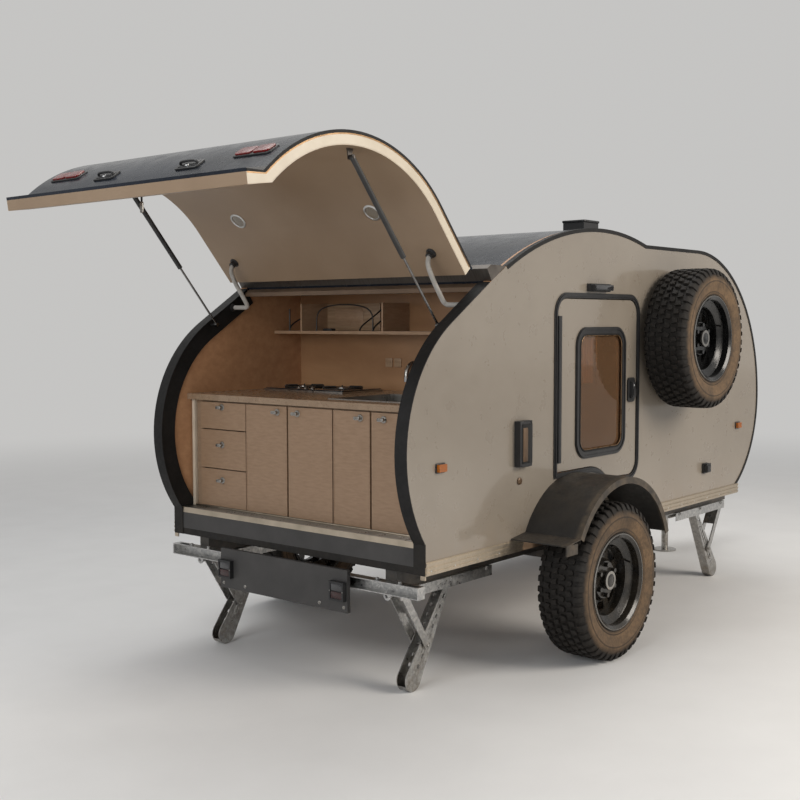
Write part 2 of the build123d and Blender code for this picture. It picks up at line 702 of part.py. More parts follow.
shelf = box(BULKHEAD_X - SHELF_D, BULKHEAD_X, *SHELF_Y, SHELF_Z, SHELF_Z + SHELF_T)
for y in DIVIDERS:
    shelf += box(BULKHEAD_X - SHELF_D, BULKHEAD_X, y - DIVIDER / 2, y + DIVIDER / 2, SHELF_Z,
                 SHELF_Z + DIVIDER_H)
cover = WALL + 2 * TOUCH
header = polygon((HEADER_X, HEADER_Z), (HEADER_X + HEADER_D, HEADER_Z),
                 slope_at(HEADER_X + HEADER_D, cover), slope_point(ROOF_END - TOUCH, cover),
                 slope_point(ROOF_END - TOUCH, HEADER_COVER), slope_at(HEADER_X, HEADER_COVER))
save("galley_shelf", shelf, prism(header, -INNER_Y + SEAL_LIP, INNER_Y - SEAL_LIP))

# Hatch, drawn closed and then swung open about its pin

FACE_D = -HATCH_GAP - HATCH
HINGE = slope_point(HINGE_FOOT, FACE_D - HINGE_RISE)


def swung(shape):
    return shape.rotate(Axis((HINGE[0], 0, HINGE[1]), (0, 1, 0)), HATCH_OPEN)


def swing(p, deg=HATCH_OPEN):
    """A point of the closed hatch, turned open by deg."""
    a = -radians(deg)
    x = p[0] - HINGE[0]
    z = p[1] - HINGE[1]
    return (HINGE[0] + x * cos(a) - z * sin(a), HINGE[1] + x * sin(a) + z * cos(a))


skin = rear_band(FACE_D, FACE_D + HATCH_SKIN, HINGE_FOOT, HATCH_BOTTOM)
core = rear_band(FACE_D + HATCH_SKIN, -HATCH_GAP, HINGE_FOOT - HATCH_TOP_BACK, HATCH_BOTTOM)
save("hatch_shell", swung(prism(skin, -HATCH_Y, HATCH_Y)))
save("hatch_liner", swung(prism(core, -HATCH_Y, HATCH_Y)))

moving = []
ramp = polygon(slope_point(ROOF_END, 0), slope_point(ROOF_END, FACE_D),
               slope_point(ROOF_END + RAIL_LAND, FACE_D), slope_point(HINGE_FOOT + RAIL_RAMP, 0))
hinge_rail = prism(ramp, -WALL_Y, WALL_Y) - prism(body(0), -WALL_Y - 1, WALL_Y + 1)
fixed_ear = polygon(HINGE, slope_point(HINGE_FOOT + FIXED_EAR[0], FACE_D),
                    slope_point(HINGE_FOOT + FIXED_EAR[1], FACE_D))
moving_ear = polygon(HINGE, slope_point(HINGE_FOOT, FACE_D),
                     slope_point(HINGE_FOOT - MOVING_EAR, FACE_D))
for y in HINGE_SETS:
    hinge_rail += disc_y(*HINGE, HINGE_BARREL_R, y - KNUCKLE, y + KNUCKLE)
    hinge_rail += prism(fixed_ear, y - KNUCKLE, y + KNUCKLE)
    for y0, y1 in ((y - 2 * KNUCKLE, y - KNUCKLE - KNUCKLE_GAP),
                   (y + KNUCKLE + KNUCKLE_GAP, y + 2 * KNUCKLE)):
        moving.append(disc_y(*HINGE, HINGE_BARREL_R, y0, y1) + prism(moving_ear, y0, y1))
save("hinge_rail", hinge_rail)

mount = on_circle(REAR_ARC, REAR_R - STRUT_ON_HATCH[0], STRUT_ON_HATCH[1])
across = radians(STRUT_ON_HATCH[1]) + pi / 2


def bracket_point(out, aside):
    """A point at out from the rear arc's centre and aside of the strut's upper pin."""
    p = on_circle(REAR_ARC, out, STRUT_ON_HATCH[1])
    return (p[0] + aside * cos(across), p[1] + aside * sin(across))


pin_out = REAR_R - STRUT_ON_HATCH[0]
base_out = sqrt((REAR_R + HATCH_GAP - TOUCH) ** 2 - BRACKET_HALF ** 2)
bracket = polygon(bracket_point(pin_out - BRACKET_NOSE, BRACKET_NOSE),
                  bracket_point(pin_out - BRACKET_NOSE, -BRACKET_NOSE),
                  bracket_point(base_out, -BRACKET_HALF), bracket_point(base_out, BRACKET_HALF))
for name, side in SIDES:
    face_y = STRUT_Y - STRUT_TUBE_R - TOUCH
    moving.append(prism(bracket, *span(side, face_y - BRACKET_T, face_y))
                  + disc_y(*mount, STUD_R, *span(side, face_y - BRACKET_T, STRUT_Y + STRUT_TUBE_R)))
save("hatch_hinges", *[swung(m) for m in moving])

# Black seals round the galley's opening, and angles along the roof's edges

seals = [strip]
for name, side in SIDES:
    seal_top = HINGE_FOOT - SEAL_BACK
    edge = prism(rear_band(-SEAL, 0, seal_top, STRIP_BOTTOM), *span(side, WALL_Y - SEAL_W, WALL_Y))
    inner = prism(rear_band(0, SEAL_DEPTH, seal_top, PANEL_TOP + SILL),
                  *span(side, INNER_Y - SEAL_LIP, INNER_Y))
    seals.append(edge + inner)
    angle = ring(-EDGE_T, EDGE_FACE, *span(side, WALL_Y, WALL_Y + EDGE_T))
    angle += ring(-EDGE_T, 0, *span(side, WALL_Y - EDGE_TOP, WALL_Y))
    seals.append(angle & ahead_of(HINGE_FOOT + RAIL_RAMP + EDGE_START))
save("edge_seals", *seals)

# Gas struts

STRUT_TOP = swing(mount)
STRUT_EYE = on_circle(REAR_ARC, REAR_R - STRUT_ON_WALL[0], STRUT_ON_WALL[1])
STRUT_LEN = hypot(STRUT_EYE[0] - STRUT_TOP[0], STRUT_EYE[1] - STRUT_TOP[1])
STRUT_U = ((STRUT_EYE[0] - STRUT_TOP[0]) / STRUT_LEN, (STRUT_EYE[1] - STRUT_TOP[1]) / STRUT_LEN)


def on_strut(s, y):
    return (STRUT_TOP[0] + s * STRUT_U[0], y, STRUT_TOP[1] + s * STRUT_U[1])


studs = []
for name, side in SIDES:
    y = side * STRUT_Y
    eye = span(1, y - STRUT_EYE_W / 2, y + STRUT_EYE_W / 2)
    tube = rod(on_strut(0, y), on_strut(STRUT_TUBE_L, y), STRUT_TUBE_R)
    tube -= rod(on_strut(STRUT_PLUG, y), on_strut(STRUT_TUBE_L + 1, y), STRUT_ROD_R + TOUCH)
    tube += disc_y(*STRUT_TOP, STRUT_EYE_R, *eye)
    tube -= disc_y(*STRUT_TOP, STUD_R + RUNNING, y - STRUT_TUBE_R, y + STRUT_TUBE_R)
    save(f"strut_tube_{name}", tube)
    save(f"strut_rod_{name}", disc_y(*STRUT_EYE, STRUT_EYE_R, *eye)
         + rod(on_strut(STRUT_TUBE_L - STRUT_ROD_IN, y), on_strut(STRUT_LEN, y), STRUT_ROD_R))
    studs.append(disc_y(*STRUT_EYE, STUD_R, *span(side, STRUT_Y + STRUT_EYE_W / 2 + TOUCH,
                                                  INNER_Y - SEAL_LIP)))

# Wiring conduits from the walls to the hatch's inner face

conduits = []
for name, side in SIDES:
    a = swing(slope_point(HINGE_FOOT - CONDUIT_START, -HATCH_GAP))
    b = swing(slope_point(HINGE_FOOT - CONDUIT_START, CONDUIT_OUT - HATCH_GAP))
    d = slope_point(*CONDUIT_END)
    conduits.append(pipe(((a[0], side * CONDUIT_Y, a[1]), (b[0], side * CONDUIT_Y, b[1]),
                          (d[0], side * CONDUIT_Y, d[1]),
                          (d[0], side * (INNER_Y - SEAL_LIP), d[1])), CONDUIT_R, CONDUIT_BEND))
save("conduits", *conduits)

# Chassis

BAR_X = (REAR_X + BAR[0], REAR_X + BAR[1])
frame = box(BAR_X[1], RAIL_FRONT, -RAIL_Y - RAIL_W / 2, -RAIL_Y + RAIL_W / 2, RAIL_BOTTOM, RAIL_TOP)
frame += mirror(frame, about=Plane.XZ)
for x in (*CROSS_MEMBERS, RAIL_FRONT - CROSS_W / 2):
    frame += box(x - CROSS_W / 2, x + CROSS_W / 2, -RAIL_Y, RAIL_Y, RAIL_BOTTOM + CROSS_DROP,
                 RAIL_TOP)
DRAW_Z = (RAIL_BOTTOM, RAIL_BOTTOM + DRAW_H)
ARM_OUT = RAIL_Y - RAIL_W / 2 - ARM_INSET    # outer face of a drawbar arm at its rear end
frame += plan_prism(DRAW_Z, (DRAW_REAR, -ARM_OUT), (DRAW_FRONT, -TONGUE_W),
                    (DRAW_FRONT + TONGUE_L, -TONGUE_W), (DRAW_FRONT + TONGUE_L, TONGUE_W),
                    (DRAW_FRONT, TONGUE_W), (DRAW_REAR, ARM_OUT), (DRAW_REAR, ARM_OUT - ARM_W),
                    (DRAW_FRONT - TONGUE, TONGUE_GAP), (DRAW_FRONT - TONGUE, -TONGUE_GAP),
                    (DRAW_REAR, ARM_W - ARM_OUT))
save("chassis_frame", frame)

bar = box(*BAR_X, -BAR_Y, BAR_Y, *BAR_Z)
bar -= box(BAR_X[0] - 1, BAR_X[1] - BAR_T, -BAR_Y + BAR_T, BAR_Y - BAR_T, BAR_Z[0] + BAR_T,
           BAR_Z[1] - BAR_T)

BALL_X = COUPLER_END - BALL_IN
neck = box(DRAW_FRONT + TONGUE_L, COUPLER_END - NECK_END, -NECK_W, NECK_W, *DRAW_Z)
socket = rod((BALL_X, 0, SOCKET_Z), (BALL_X, 0, SOCKET_Z + SOCKET_H), SOCKET_R)
socket -= rod((BALL_X, 0, SOCKET_Z - 1), (BALL_X, 0, SOCKET_Z + SOCKET_WALL), BALL_R)
socket -= Solid.make_sphere(BALL_R, angle1=-90, angle2=90, angle3=360).moved(
    Location((BALL_X, 0, SOCKET_Z + SOCKET_WALL)))
grip = polygon((BALL_X + GRIP[0], DRAW_Z[1] + GRIP[2]), (BALL_X + GRIP[0], DRAW_Z[1] + GRIP[3]),
               (BALL_X + GRIP[1], DRAW_Z[1] + GRIP[2]), (BALL_X + GRIP[1], SOCKET_Z + SOCKET_WALL * 3),
               (BALL_X + GRIP[1] - GRIP[2], SOCKET_Z + SOCKET_WALL * 3))
save("coupler", neck + socket + prism(grip, -GRIP_W, GRIP_W))

FLANGE_X, FLANGE_Y, FLANGE_T = JACK_FLANGE
jack = box(JACK_X - FLANGE_X, JACK_X + FLANGE_X, -FLANGE_Y, FLANGE_Y, DRAW_Z[1],
           DRAW_Z[1] + FLANGE_T)
jack += rod((JACK_X, 0, JACK_TUBE_BOTTOM), (JACK_X, 0, JACK_TOP), JACK_R)
jack -= rod((JACK_X, 0, JACK_TUBE_BOTTOM - 1), (JACK_X, 0, JACK_TOP - JACK_HEAD),
            JACK_LEG_R + TOUCH)
arm_z = JACK_TOP + CRANK_UP
jack += rod((JACK_X, 0, JACK_TOP), (JACK_X, 0, arm_z + CRANK_R), CRANK_R)
jack += rod((JACK_X, 0, arm_z), (JACK_X, -CRANK_REACH, arm_z), CRANK_R)
jack += rod((JACK_X, -CRANK_REACH, arm_z - CRANK_R), (JACK_X, -CRANK_REACH, arm_z + CRANK_GRIP),
            CRANK_GRIP_R)
save("jack_tube", jack)
save("jack_leg", rod((JACK_X, 0, JACK_FOOT_T), (JACK_X, 0, JACK_LEG_TOP), JACK_LEG_R)
     + rod((JACK_X, 0, 0), (JACK_X, 0, JACK_FOOT_T), JACK_FOOT_R))

HUB_OUT = TRACK_Y + DISC_OUT + HAT_RISE - DISC_T
HUB_IN = HUB_OUT - HUB_L
AXLE_Z = RAIL_BOTTOM - AXLE_SIDE / 2
half = AXLE_SIDE / 2
axle = box(AXLE_X - half, AXLE_X + half, -ARM_Y, ARM_Y, AXLE_Z - half, AXLE_Z + half)
for name, side in SIDES:
    axle += prism(polygon((AXLE_X + half, AXLE_Z + half), (AXLE_X + half, AXLE_Z - half),
                          (0, TYRE_R - half), (-half, TYRE_R), (0, TYRE_R + half),
                          (AXLE_X - half, AXLE_Z + half)), *span(side, ARM_Y, ARM_Y + ARM_T))
    axle += disc_y(0, TYRE_R, STUB_R, *span(side, ARM_Y, HUB_IN - TOUCH))
    axle += disc_y(0, TYRE_R, SPINDLE_R, *span(side, ARM_Y, HUB_OUT - HUB_END - TOUCH))
save("axle", axle)

# Wheels, drawn about the Z axis with the open side of the rim towards +Z


def lug(w0, w1, turn, skew=0.0):
    """One tread block between the widths w0 and w1, turned round the tyre."""
    half = TYRE_R * radians(LUG_TURN) / 2
    top = sqrt(TYRE_R ** 2 - half ** 2)
    corners = [Vector(LUG_ROOT, y, w) for y, w in ((-half, w0), (half, w0), (half + skew, w1),
                                                   (skew - half, w1))]
    edges = [Line(p, q) for p, q in zip(corners, corners[1:] + corners[:1])]
    return extrude(Face(Wire(edges)), amount=top - LUG_ROOT, dir=(1, 0, 0)).rotate(Axis.Z, turn)


def make_tyre():
    """A tyre of flat facets, two to each pitch of the tread, with its lugs fused on."""
    count = 2 * PITCHES
    step = 360.0 / count
    grow = 1 / cos(radians(step / 2))
    bead_r = BEAD_R * grow
    outer = [(bead_r, BEAD_W), (LIP_R * grow, BEAD_W), (BELLY_R, TYRE_W / 2),
             (SHOULDER_R, SHOULDER_W), (TREAD_BASE, TREAD_W)]
    inner = [(bead_r, BEAD_W - BEAD_T_IN), (LINER_R, LINER_W)]
    profile = [(r, -w) for r, w in outer] + outer[::-1] + inner + [(r, -w) for r, w in inner[::-1]]

    def spot(k, j):
        r, w = profile[j % len(profile)]
        return Vector(r * cos(radians(k * step)), r * sin(radians(k * step)), w)

    faces = []
    for k in range(count):
        for j in range(len(profile)):
            faces.append(Face(Wire.make_polygon(
                [spot(k, j), spot(k + 1, j), spot(k + 1, j + 1), spot(k, j + 1)])))
    tyre = Solid(Shell(faces))
    lugs = []
    for k in range(PITCHES):
        lugs += [lug(-LUG_OUT, -LUG_IN, 2 * k * step), lug(LUG_IN, LUG_OUT, (2 * k + 1) * step),
                 lug(-LUG_IN * 0.8, LUG_IN * 0.8, (2 * k + 0.5) * step, step)]
    return (tyre + lugs).rotate(Axis.Z, LUG_TURN / 2)


def make_rim():
    """A steel rim with windows in its disc, nuts and a cap."""
    seat = BEAD_R - TOUCH
    edge = BEAD_W + TOUCH
    side = [(LIP_R, edge + LIP_W), (LIP_R, edge), (seat, edge), (seat, BEAD_W - SEAT_W),
            (WELL_R, BEAD_W - WELL_W)]
    outer = side + [(r, -z) for r, z in side[::-1]]
    side = [(LIP_R - RIM_T, -edge - LIP_W), (seat - RIM_T, -BEAD_W),
            (seat - RIM_T, SEAT_W + RIM_T - BEAD_W), (WELL_R - RIM_T, WELL_W + RIM_T / 2 - BEAD_W)]
    inner = side + [(r, -z) for r, z in side[::-1]]
    rim = revolve(polygon(*outer, *inner), Axis.Z, 360)
    low = DISC_OUT
    top = low + HAT_RISE
    reach = WELL_R - RIM_T / 2
    disc = revolve(polygon(
        (HUB_R / 2, top), (HAT_R - HAT_SLOPE / 2, top), (HAT_R + HAT_SLOPE / 2, low),
        (reach, low - DISC_DIP), (reach, low - DISC_DIP - DISC_T),
        (HAT_R + HAT_SLOPE / 4, low - DISC_T), (HAT_R - HAT_SLOPE, top - DISC_T),
        (HUB_R / 2, top - DISC_T)), Axis.Z, 360)
    half = (360.0 / WINDOWS - SPOKE) / 2
    for k in range(WINDOWS):
        a = k * 360.0 / WINDOWS
        c = [(*on_circle((0, 0), r, a + turn), -BEAD_W) for r, turn in (
            (WINDOW_IN_R, -half * 0.75), (WINDOW_IN_R, half * 0.75), (WINDOW_OUT_R, half),
            (WINDOW_OUT_R, 0), (WINDOW_OUT_R, -half))]
        window = Face(Wire([Line(c[0], c[1]), Line(c[1], c[2]), ThreePointArc(c[2], c[3], c[4]),
                            Line(c[4], c[0])]))
        disc -= extrude(window, amount=2 * BEAD_W, dir=(0, 0, 1))
    rim += disc
    rim += Solid.make_cylinder(HUB_CAP_R, HUB_CAP_H, Plane(origin=(0, 0, top)))
    for k in range(NUTS):
        spot = on_circle((0, 0), NUT_CIRCLE_R, (k + 0.5) * 360.0 / NUTS)
        rim += extrude(Plane(origin=(*spot, top)) * RegularPolygon(NUT_R, 6), amount=NUT_H)
    return rim


def placed(shape, side, x, y, z):
    """Stands a wheel piece up with its open side outwards, and puts it in its place."""
    return shape.rotate(Axis.X, -90 * side).moved(Location((x, side * y, z)))


tyre = make_tyre()
rim = make_rim()
for name, side in SIDES:
    hub = disc_y(0, TYRE_R, HUB_R, *span(side, HUB_IN, HUB_OUT))
    hub -= disc_y(0, TYRE_R, SPINDLE_R + RUNNING, *span(side, HUB_IN - 1, HUB_OUT - HUB_END))
    save(f"tyre_{name}", placed(tyre, side, 0, TRACK_Y, TYRE_R))
    save(f"rim_{name}", placed(rim, side, 0, TRACK_Y, TYRE_R) + hub)

save("spare_tyre", placed(tyre, -1, SPARE_X, SPARE_Y, SPARE_Z))
save("spare_rim", placed(rim, -1, SPARE_X, SPARE_Y, SPARE_Z))
hat_back = SPARE_Y + DISC_OUT + HAT_RISE - DISC_T
bracket = disc_y(SPARE_X, SPARE_Z, BRACKET_PLATE_R, -WALL_Y - BRACKET_PLATE, -WALL_Y)
save("spare_bracket", bracket + disc_y(SPARE_X, SPARE_Z, BRACKET_R, -hat_back, -WALL_Y))

# Wings


def wing(side):
    inner = WING_R - WING_T
    lip_r = WING_R - WING_LIP
    start = on_circle(WING_C, WING_R, WING_START)
    end = on_circle(WING_C, WING_R, WING_END)
    middle = (WING_START + WING_END) / 2
    tail = (WING_TAIL_X, end[1] - WING_TAIL_DROP)
    sheet = outline(start, ("arc", on_circle(WING_C, WING_R, middle), end), ("line", tail),
                    ("line", (tail[0], tail[1] - WING_T)),
                    ("line", on_circle(WING_C, inner, WING_END)),
                    ("arc", on_circle(WING_C, inner, middle), on_circle(WING_C, inner, WING_START)))
    lip = outline(start, ("arc", on_circle(WING_C, WING_R, middle), end),
                  ("line", on_circle(WING_C, lip_r, WING_END)),
                  ("arc", on_circle(WING_C, lip_r, middle), on_circle(WING_C, lip_r, WING_START)))
    skirt = polygon(tail, (tail[0], tail[1] - WING_SKIRT),
                    (tail[0] + WING_SKIRT_L, tail[1] - WING_SKIRT), (tail[0] + WING_SKIRT_L, tail[1]))
    edge = span(side, WING_Y - WING_T, WING_Y)
    return prism(sheet, *span(side, WALL_Y, WING_Y)) + prism(lip, *edge) + prism(skirt, *edge)


save("wings", *[wing(side) for name, side in SIDES])

# Steadies: the brace hinges at the channel, the leg's top pin slides along it


def steady(brace_x, facing):
    """facing is +1 where the leg's top lies forward of the brace pin."""
    a = radians(STEADY_ANGLE)
    brace_pin = (brace_x, PIVOT_Z)
    joint = (brace_x + facing * BRACE_L * cos(a), PIVOT_Z - BRACE_L * sin(a))
    top_pin = (brace_x + facing * 2 * BRACE_L * cos(a), PIVOT_Z)
    length = (PIVOT_Z - LEG_FOOT_R) / sin(a)
    foot = (top_pin[0] - facing * length * cos(a), LEG_FOOT_R)
    return brace_pin, joint, top_pin, foot


def beside(p, q, s, n):
    """A point s along the line from p to q and n above it."""
    a = atan2(q[1] - p[1], q[0] - p[0])
    up = 1 if cos(a) > 0 else -1
    return (p[0] + s * cos(a) - up * n * sin(a), p[1] + s * sin(a) + up * n * cos(a))


REAR_BRACE_X = REAR_X + BRACE_IN[0]
FRONT_BRACE_X = RAIL_FRONT - BRACE_IN[1]
STEADIES = (("rear_right", REAR_BRACE_X, 1, -1), ("rear_left", REAR_BRACE_X, 1, 1),
            ("front_right", FRONT_BRACE_X, -1, -1), ("front_left", FRONT_BRACE_X, -1, 1))
BRACE_Y = LEG_W / 2 + STEADY_GAP
CHANNEL_Y = BRACE_Y + BRACE_T + STEADY_GAP
PIN_Y = CHANNEL_Y - TOUCH
channels = []
for name, brace_x, facing, side in STEADIES:
    y = side * RAIL_Y
    brace_pin, joint, top_pin, foot = steady(brace_x, facing)
    reach = 2 * BRACE_L * cos(radians(STEADY_FOLDED)) + CHANNEL_END
    ends = sorted((brace_x - facing * CHANNEL_END, brace_x + facing * reach))
    outside = CHANNEL_Y + CHANNEL_T
    channel = box(*ends, y - outside, y + outside, PIVOT_Z - CHANNEL_DROP, RAIL_BOTTOM)
    channel -= box(ends[0] - 1, ends[1] + 1, y - CHANNEL_Y, y + CHANNEL_Y,
                   PIVOT_Z - CHANNEL_DROP - 1, RAIL_BOTTOM - CHANNEL_T)
    channels.append(channel)

    length = hypot(foot[0] - top_pin[0], foot[1] - top_pin[1])
    flange = LEG_W / 2
    leg = prism(link(top_pin, foot, LEG_TOP_R, LEG_FOOT_R), y - flange, y + flange)
    start = beside(top_pin, foot, 0, LEG_T)
    end = beside(top_pin, foot, length, LEG_T)
    hollow = (y - flange + LEG_T, y + flange - LEG_T)
    leg -= prism(link(start, end, LEG_TOP_R, LEG_FOOT_R - LEG_T / 2), *hollow)
    leg -= prism(polygon(start, end, beside(top_pin, foot, length, 2 * LEG_FOOT_R),
                         beside(top_pin, foot, 0, 2 * LEG_FOOT_R)), *hollow)
    for s in LEG_HOLES:
        leg -= disc_y(*beside(top_pin, foot, s, 0), LEG_HOLE_R, y - LEG_W, y + LEG_W)
    leg += disc_y(*top_pin, PIN_R, y - PIN_Y, y + PIN_Y)
    leg += disc_y(*joint, PIN_R, y - BRACE_Y - BRACE_T, y + BRACE_Y + BRACE_T)
    save(f"steady_leg_{name}", leg)

    brace = disc_y(*brace_pin, PIN_R, y - PIN_Y, y + PIN_Y)
    for s in (-1, 1):
        brace += prism(link(brace_pin, joint, BRACE_R, BRACE_R),
                       *span(1, y + s * BRACE_Y, y + s * (BRACE_Y + BRACE_T)))
    web = polygon(*[beside(brace_pin, joint, s, n) for s, n in (
        (BRACE_WEB[0], BRACE_R - CHANNEL_T), (BRACE_WEB[0], BRACE_R), (BRACE_WEB[1], BRACE_R),
        (BRACE_WEB[1], BRACE_R - CHANNEL_T))])
    brace += prism(web, y - BRACE_Y, y + BRACE_Y)
    save(f"steady_brace_{name}", brace - disc_y(*joint, PIN_R + RUNNING, y - CHANNEL_Y,
                                                y + CHANNEL_Y))
save("steady_channels", bar, *channels)

# Light board, body fittings and bed

board = box(BAR_X[0] - BOARD_T, BAR_X[0], -LIGHT_BOARD[0], LIGHT_BOARD[0], *LIGHT_BOARD[1:])
save("rear_panels", rear, board)
lamp_x = BAR_X[0] - BOARD_T
lamps = []
for name, side in SIDES:
    y0, y1 = span(side, LAMP[0], LAMP[1])
    housing = box(lamp_x - LAMP_T, lamp_x, y0, y1, LAMP[2], LAMP[3])
    lamps.append(housing - box(lamp_x - LAMP_T - 1, lamp_x - LAMP_T + LAMP_CUT, y0 + LAMP_EDGE,
                               y1 - LAMP_EDGE, LAMP[2] + LAMP_EDGE, LAMP[3] - LAMP_EDGE))
    lamps += [box(x - MARKER[0], x + MARKER[0], *span(side, WALL_Y, WALL_Y + MARKER_T),
                  z - MARKER[1], z + MARKER[1]) for x, z in MARKERS]
save("lamps", *lamps)

vent = box(VENT[0], VENT[1], -WALL_Y - VENT_T, -WALL_Y, VENT[2], VENT[3])
vent -= box(VENT[0] + VENT_EDGE, VENT[1] - VENT_EDGE, -WALL_Y - VENT_T - 1,
            -WALL_Y - VENT_T + VENT_CUT, VENT[2] + VENT_EDGE, VENT[3] - VENT_EDGE)
for k in range(LOUVRES):
    z = VENT[2] + (VENT[3] - VENT[2]) * (k + 1) / (LOUVRES + 1)
    vent += box(VENT[0] + VENT_EDGE, VENT[1] - VENT_EDGE, -WALL_Y - VENT_T + LOUVRE, -WALL_Y, z,
                z + LOUVRE)
inlet = box(INLET[0], INLET[1], -WALL_Y - INLET_T, -WALL_Y, INLET[2], INLET[3])
inlet += box(INLET[0] + INLET_LID, INLET[1] - INLET_LID, -WALL_Y - INLET_T - INLET_LID_T, -WALL_Y,
             INLET[2] + INLET_LID, INLET[3] - INLET_LID)
porch = box(PORCH[0], PORCH[1], -WALL_Y - PORCH_T, -WALL_Y, PORCH[2], PORCH[3])
porch += box(PORCH[0] + PORCH_IN, PORCH[1] - PORCH_IN, -WALL_Y - PORCH_T - PORCH_LENS_T, -WALL_Y,
             PORCH[2] + PORCH_IN, PORCH[3] - PORCH_IN)
roof_vent = box(*ROOF_VENT, *ROOF_VENT_Z) - prism(body(0), -WALL_Y, WALL_Y)
lock = disc_y(*LOCK, LOCK_R, -WALL_Y - LOCK_T, -WALL_Y)
save("body_fittings", vent, inlet, porch, roof_vent, lock, *studs)

bed = box(BULKHEAD_X + BULKHEAD + BED_GAP, BED_FRONT, -INNER_Y + BED_SIDE, INNER_Y - BED_SIDE,
          BODY_BOTTOM + TOUCH, BODY_BOTTOM + BED_H)
save("mattress", fillet(bed.edges(), radius=BED_ROUND))

# Move every piece so that the origin is under the middle of the whole length, and write it

boxes = [s.bounding_box() for solids in pieces.values() for s in solids]
AXLE_SHIFT = -(min(b.min.X for b in boxes) + max(b.max.X for b in boxes)) / 2
for name, solids in pieces.items():
    moved = [s.moved(Location((AXLE_SHIFT, 0, 0))) for s in solids]
    export_step(moved[0] if len(moved) == 1 else Compound(children=moved), f"parts/{name}.step")
print("axle at x", AXLE_SHIFT)
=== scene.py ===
import bmesh
import bpy
import math
from mathutils import Matrix, Quaternion, Vector


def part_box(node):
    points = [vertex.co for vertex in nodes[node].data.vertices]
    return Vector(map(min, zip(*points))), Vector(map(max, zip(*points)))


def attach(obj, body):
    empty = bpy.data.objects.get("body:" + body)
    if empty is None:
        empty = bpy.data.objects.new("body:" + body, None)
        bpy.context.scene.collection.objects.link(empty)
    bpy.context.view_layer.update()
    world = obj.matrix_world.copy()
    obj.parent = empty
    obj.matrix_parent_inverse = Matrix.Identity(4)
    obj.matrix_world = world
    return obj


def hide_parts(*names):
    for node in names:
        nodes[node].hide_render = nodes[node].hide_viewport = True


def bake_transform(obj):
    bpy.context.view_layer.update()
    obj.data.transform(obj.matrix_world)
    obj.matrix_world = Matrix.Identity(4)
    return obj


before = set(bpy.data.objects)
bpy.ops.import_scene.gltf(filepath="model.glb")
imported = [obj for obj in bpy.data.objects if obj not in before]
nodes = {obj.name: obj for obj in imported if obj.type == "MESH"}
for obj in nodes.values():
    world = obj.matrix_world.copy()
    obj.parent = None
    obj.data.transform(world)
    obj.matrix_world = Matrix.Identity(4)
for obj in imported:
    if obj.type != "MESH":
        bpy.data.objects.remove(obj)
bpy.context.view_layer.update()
bpy.context.scene.view_settings.view_transform = "Standard"

# Lengths are millimetres, and x counts from the axle. Materials and lamps use the frame's metres.

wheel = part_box("rim_right")
AXLE = (wheel[0].x + wheel[1].x) / 2        # the axle's x in the frame, in metres
SIDES = (("right", -1), ("left", 1))
WALL = 767.5                # a wall's outer face, from the middle
HATCH = 718.0               # the hatch's side, from the middle
FACE = 0.0006               # depth to which a side's material reaches, in metres
WHEEL = (0, 927, 360)       # middle of the left road wheel
SPARE = (990, -905, 1446)   # middle of the spare wheel


def P(x, y, z):
    """A point in the frame, in metres."""
    return Vector((x / 1000 + AXLE, y / 1000, z / 1000))


def polar(r, deg, cx=0.0, cy=0.0):
    a = math.radians(deg)
    return cx + r * math.cos(a), cy + r * math.sin(a)


def add(name, data):
    """Puts a new object into the scene."""
    o = bpy.data.objects.new(name, data)
    bpy.context.scene.collection.objects.link(o)
    return o


# Camera, fitted to the photograph

SENSOR = 36
FOCAL, PICTURE = 1163.1, 800        # in pixels
YAW, PITCH, ROLL = (math.radians(a) for a in (39.845, -3.868, -0.107))

cam = add("camera", bpy.data.cameras.new("camera"))
bpy.context.scene.camera = cam
cam.data.sensor_width = SENSOR
cam.data.lens = SENSOR * FOCAL / PICTURE
cam.location = P(-4619.7, -3597.9, 1536.6)
look = Vector((math.cos(PITCH) * math.cos(YAW), math.cos(PITCH) * math.sin(YAW), math.sin(PITCH)))
cam.rotation_mode = "QUATERNION"
cam.rotation_quaternion = look.to_track_quat("-Z", "Y") @ Quaternion((0, 0, 1), ROLL)
cam.data.clip_end = 200


# Materials

def rgba(r, g, b):
    return (r, g, b, 1)


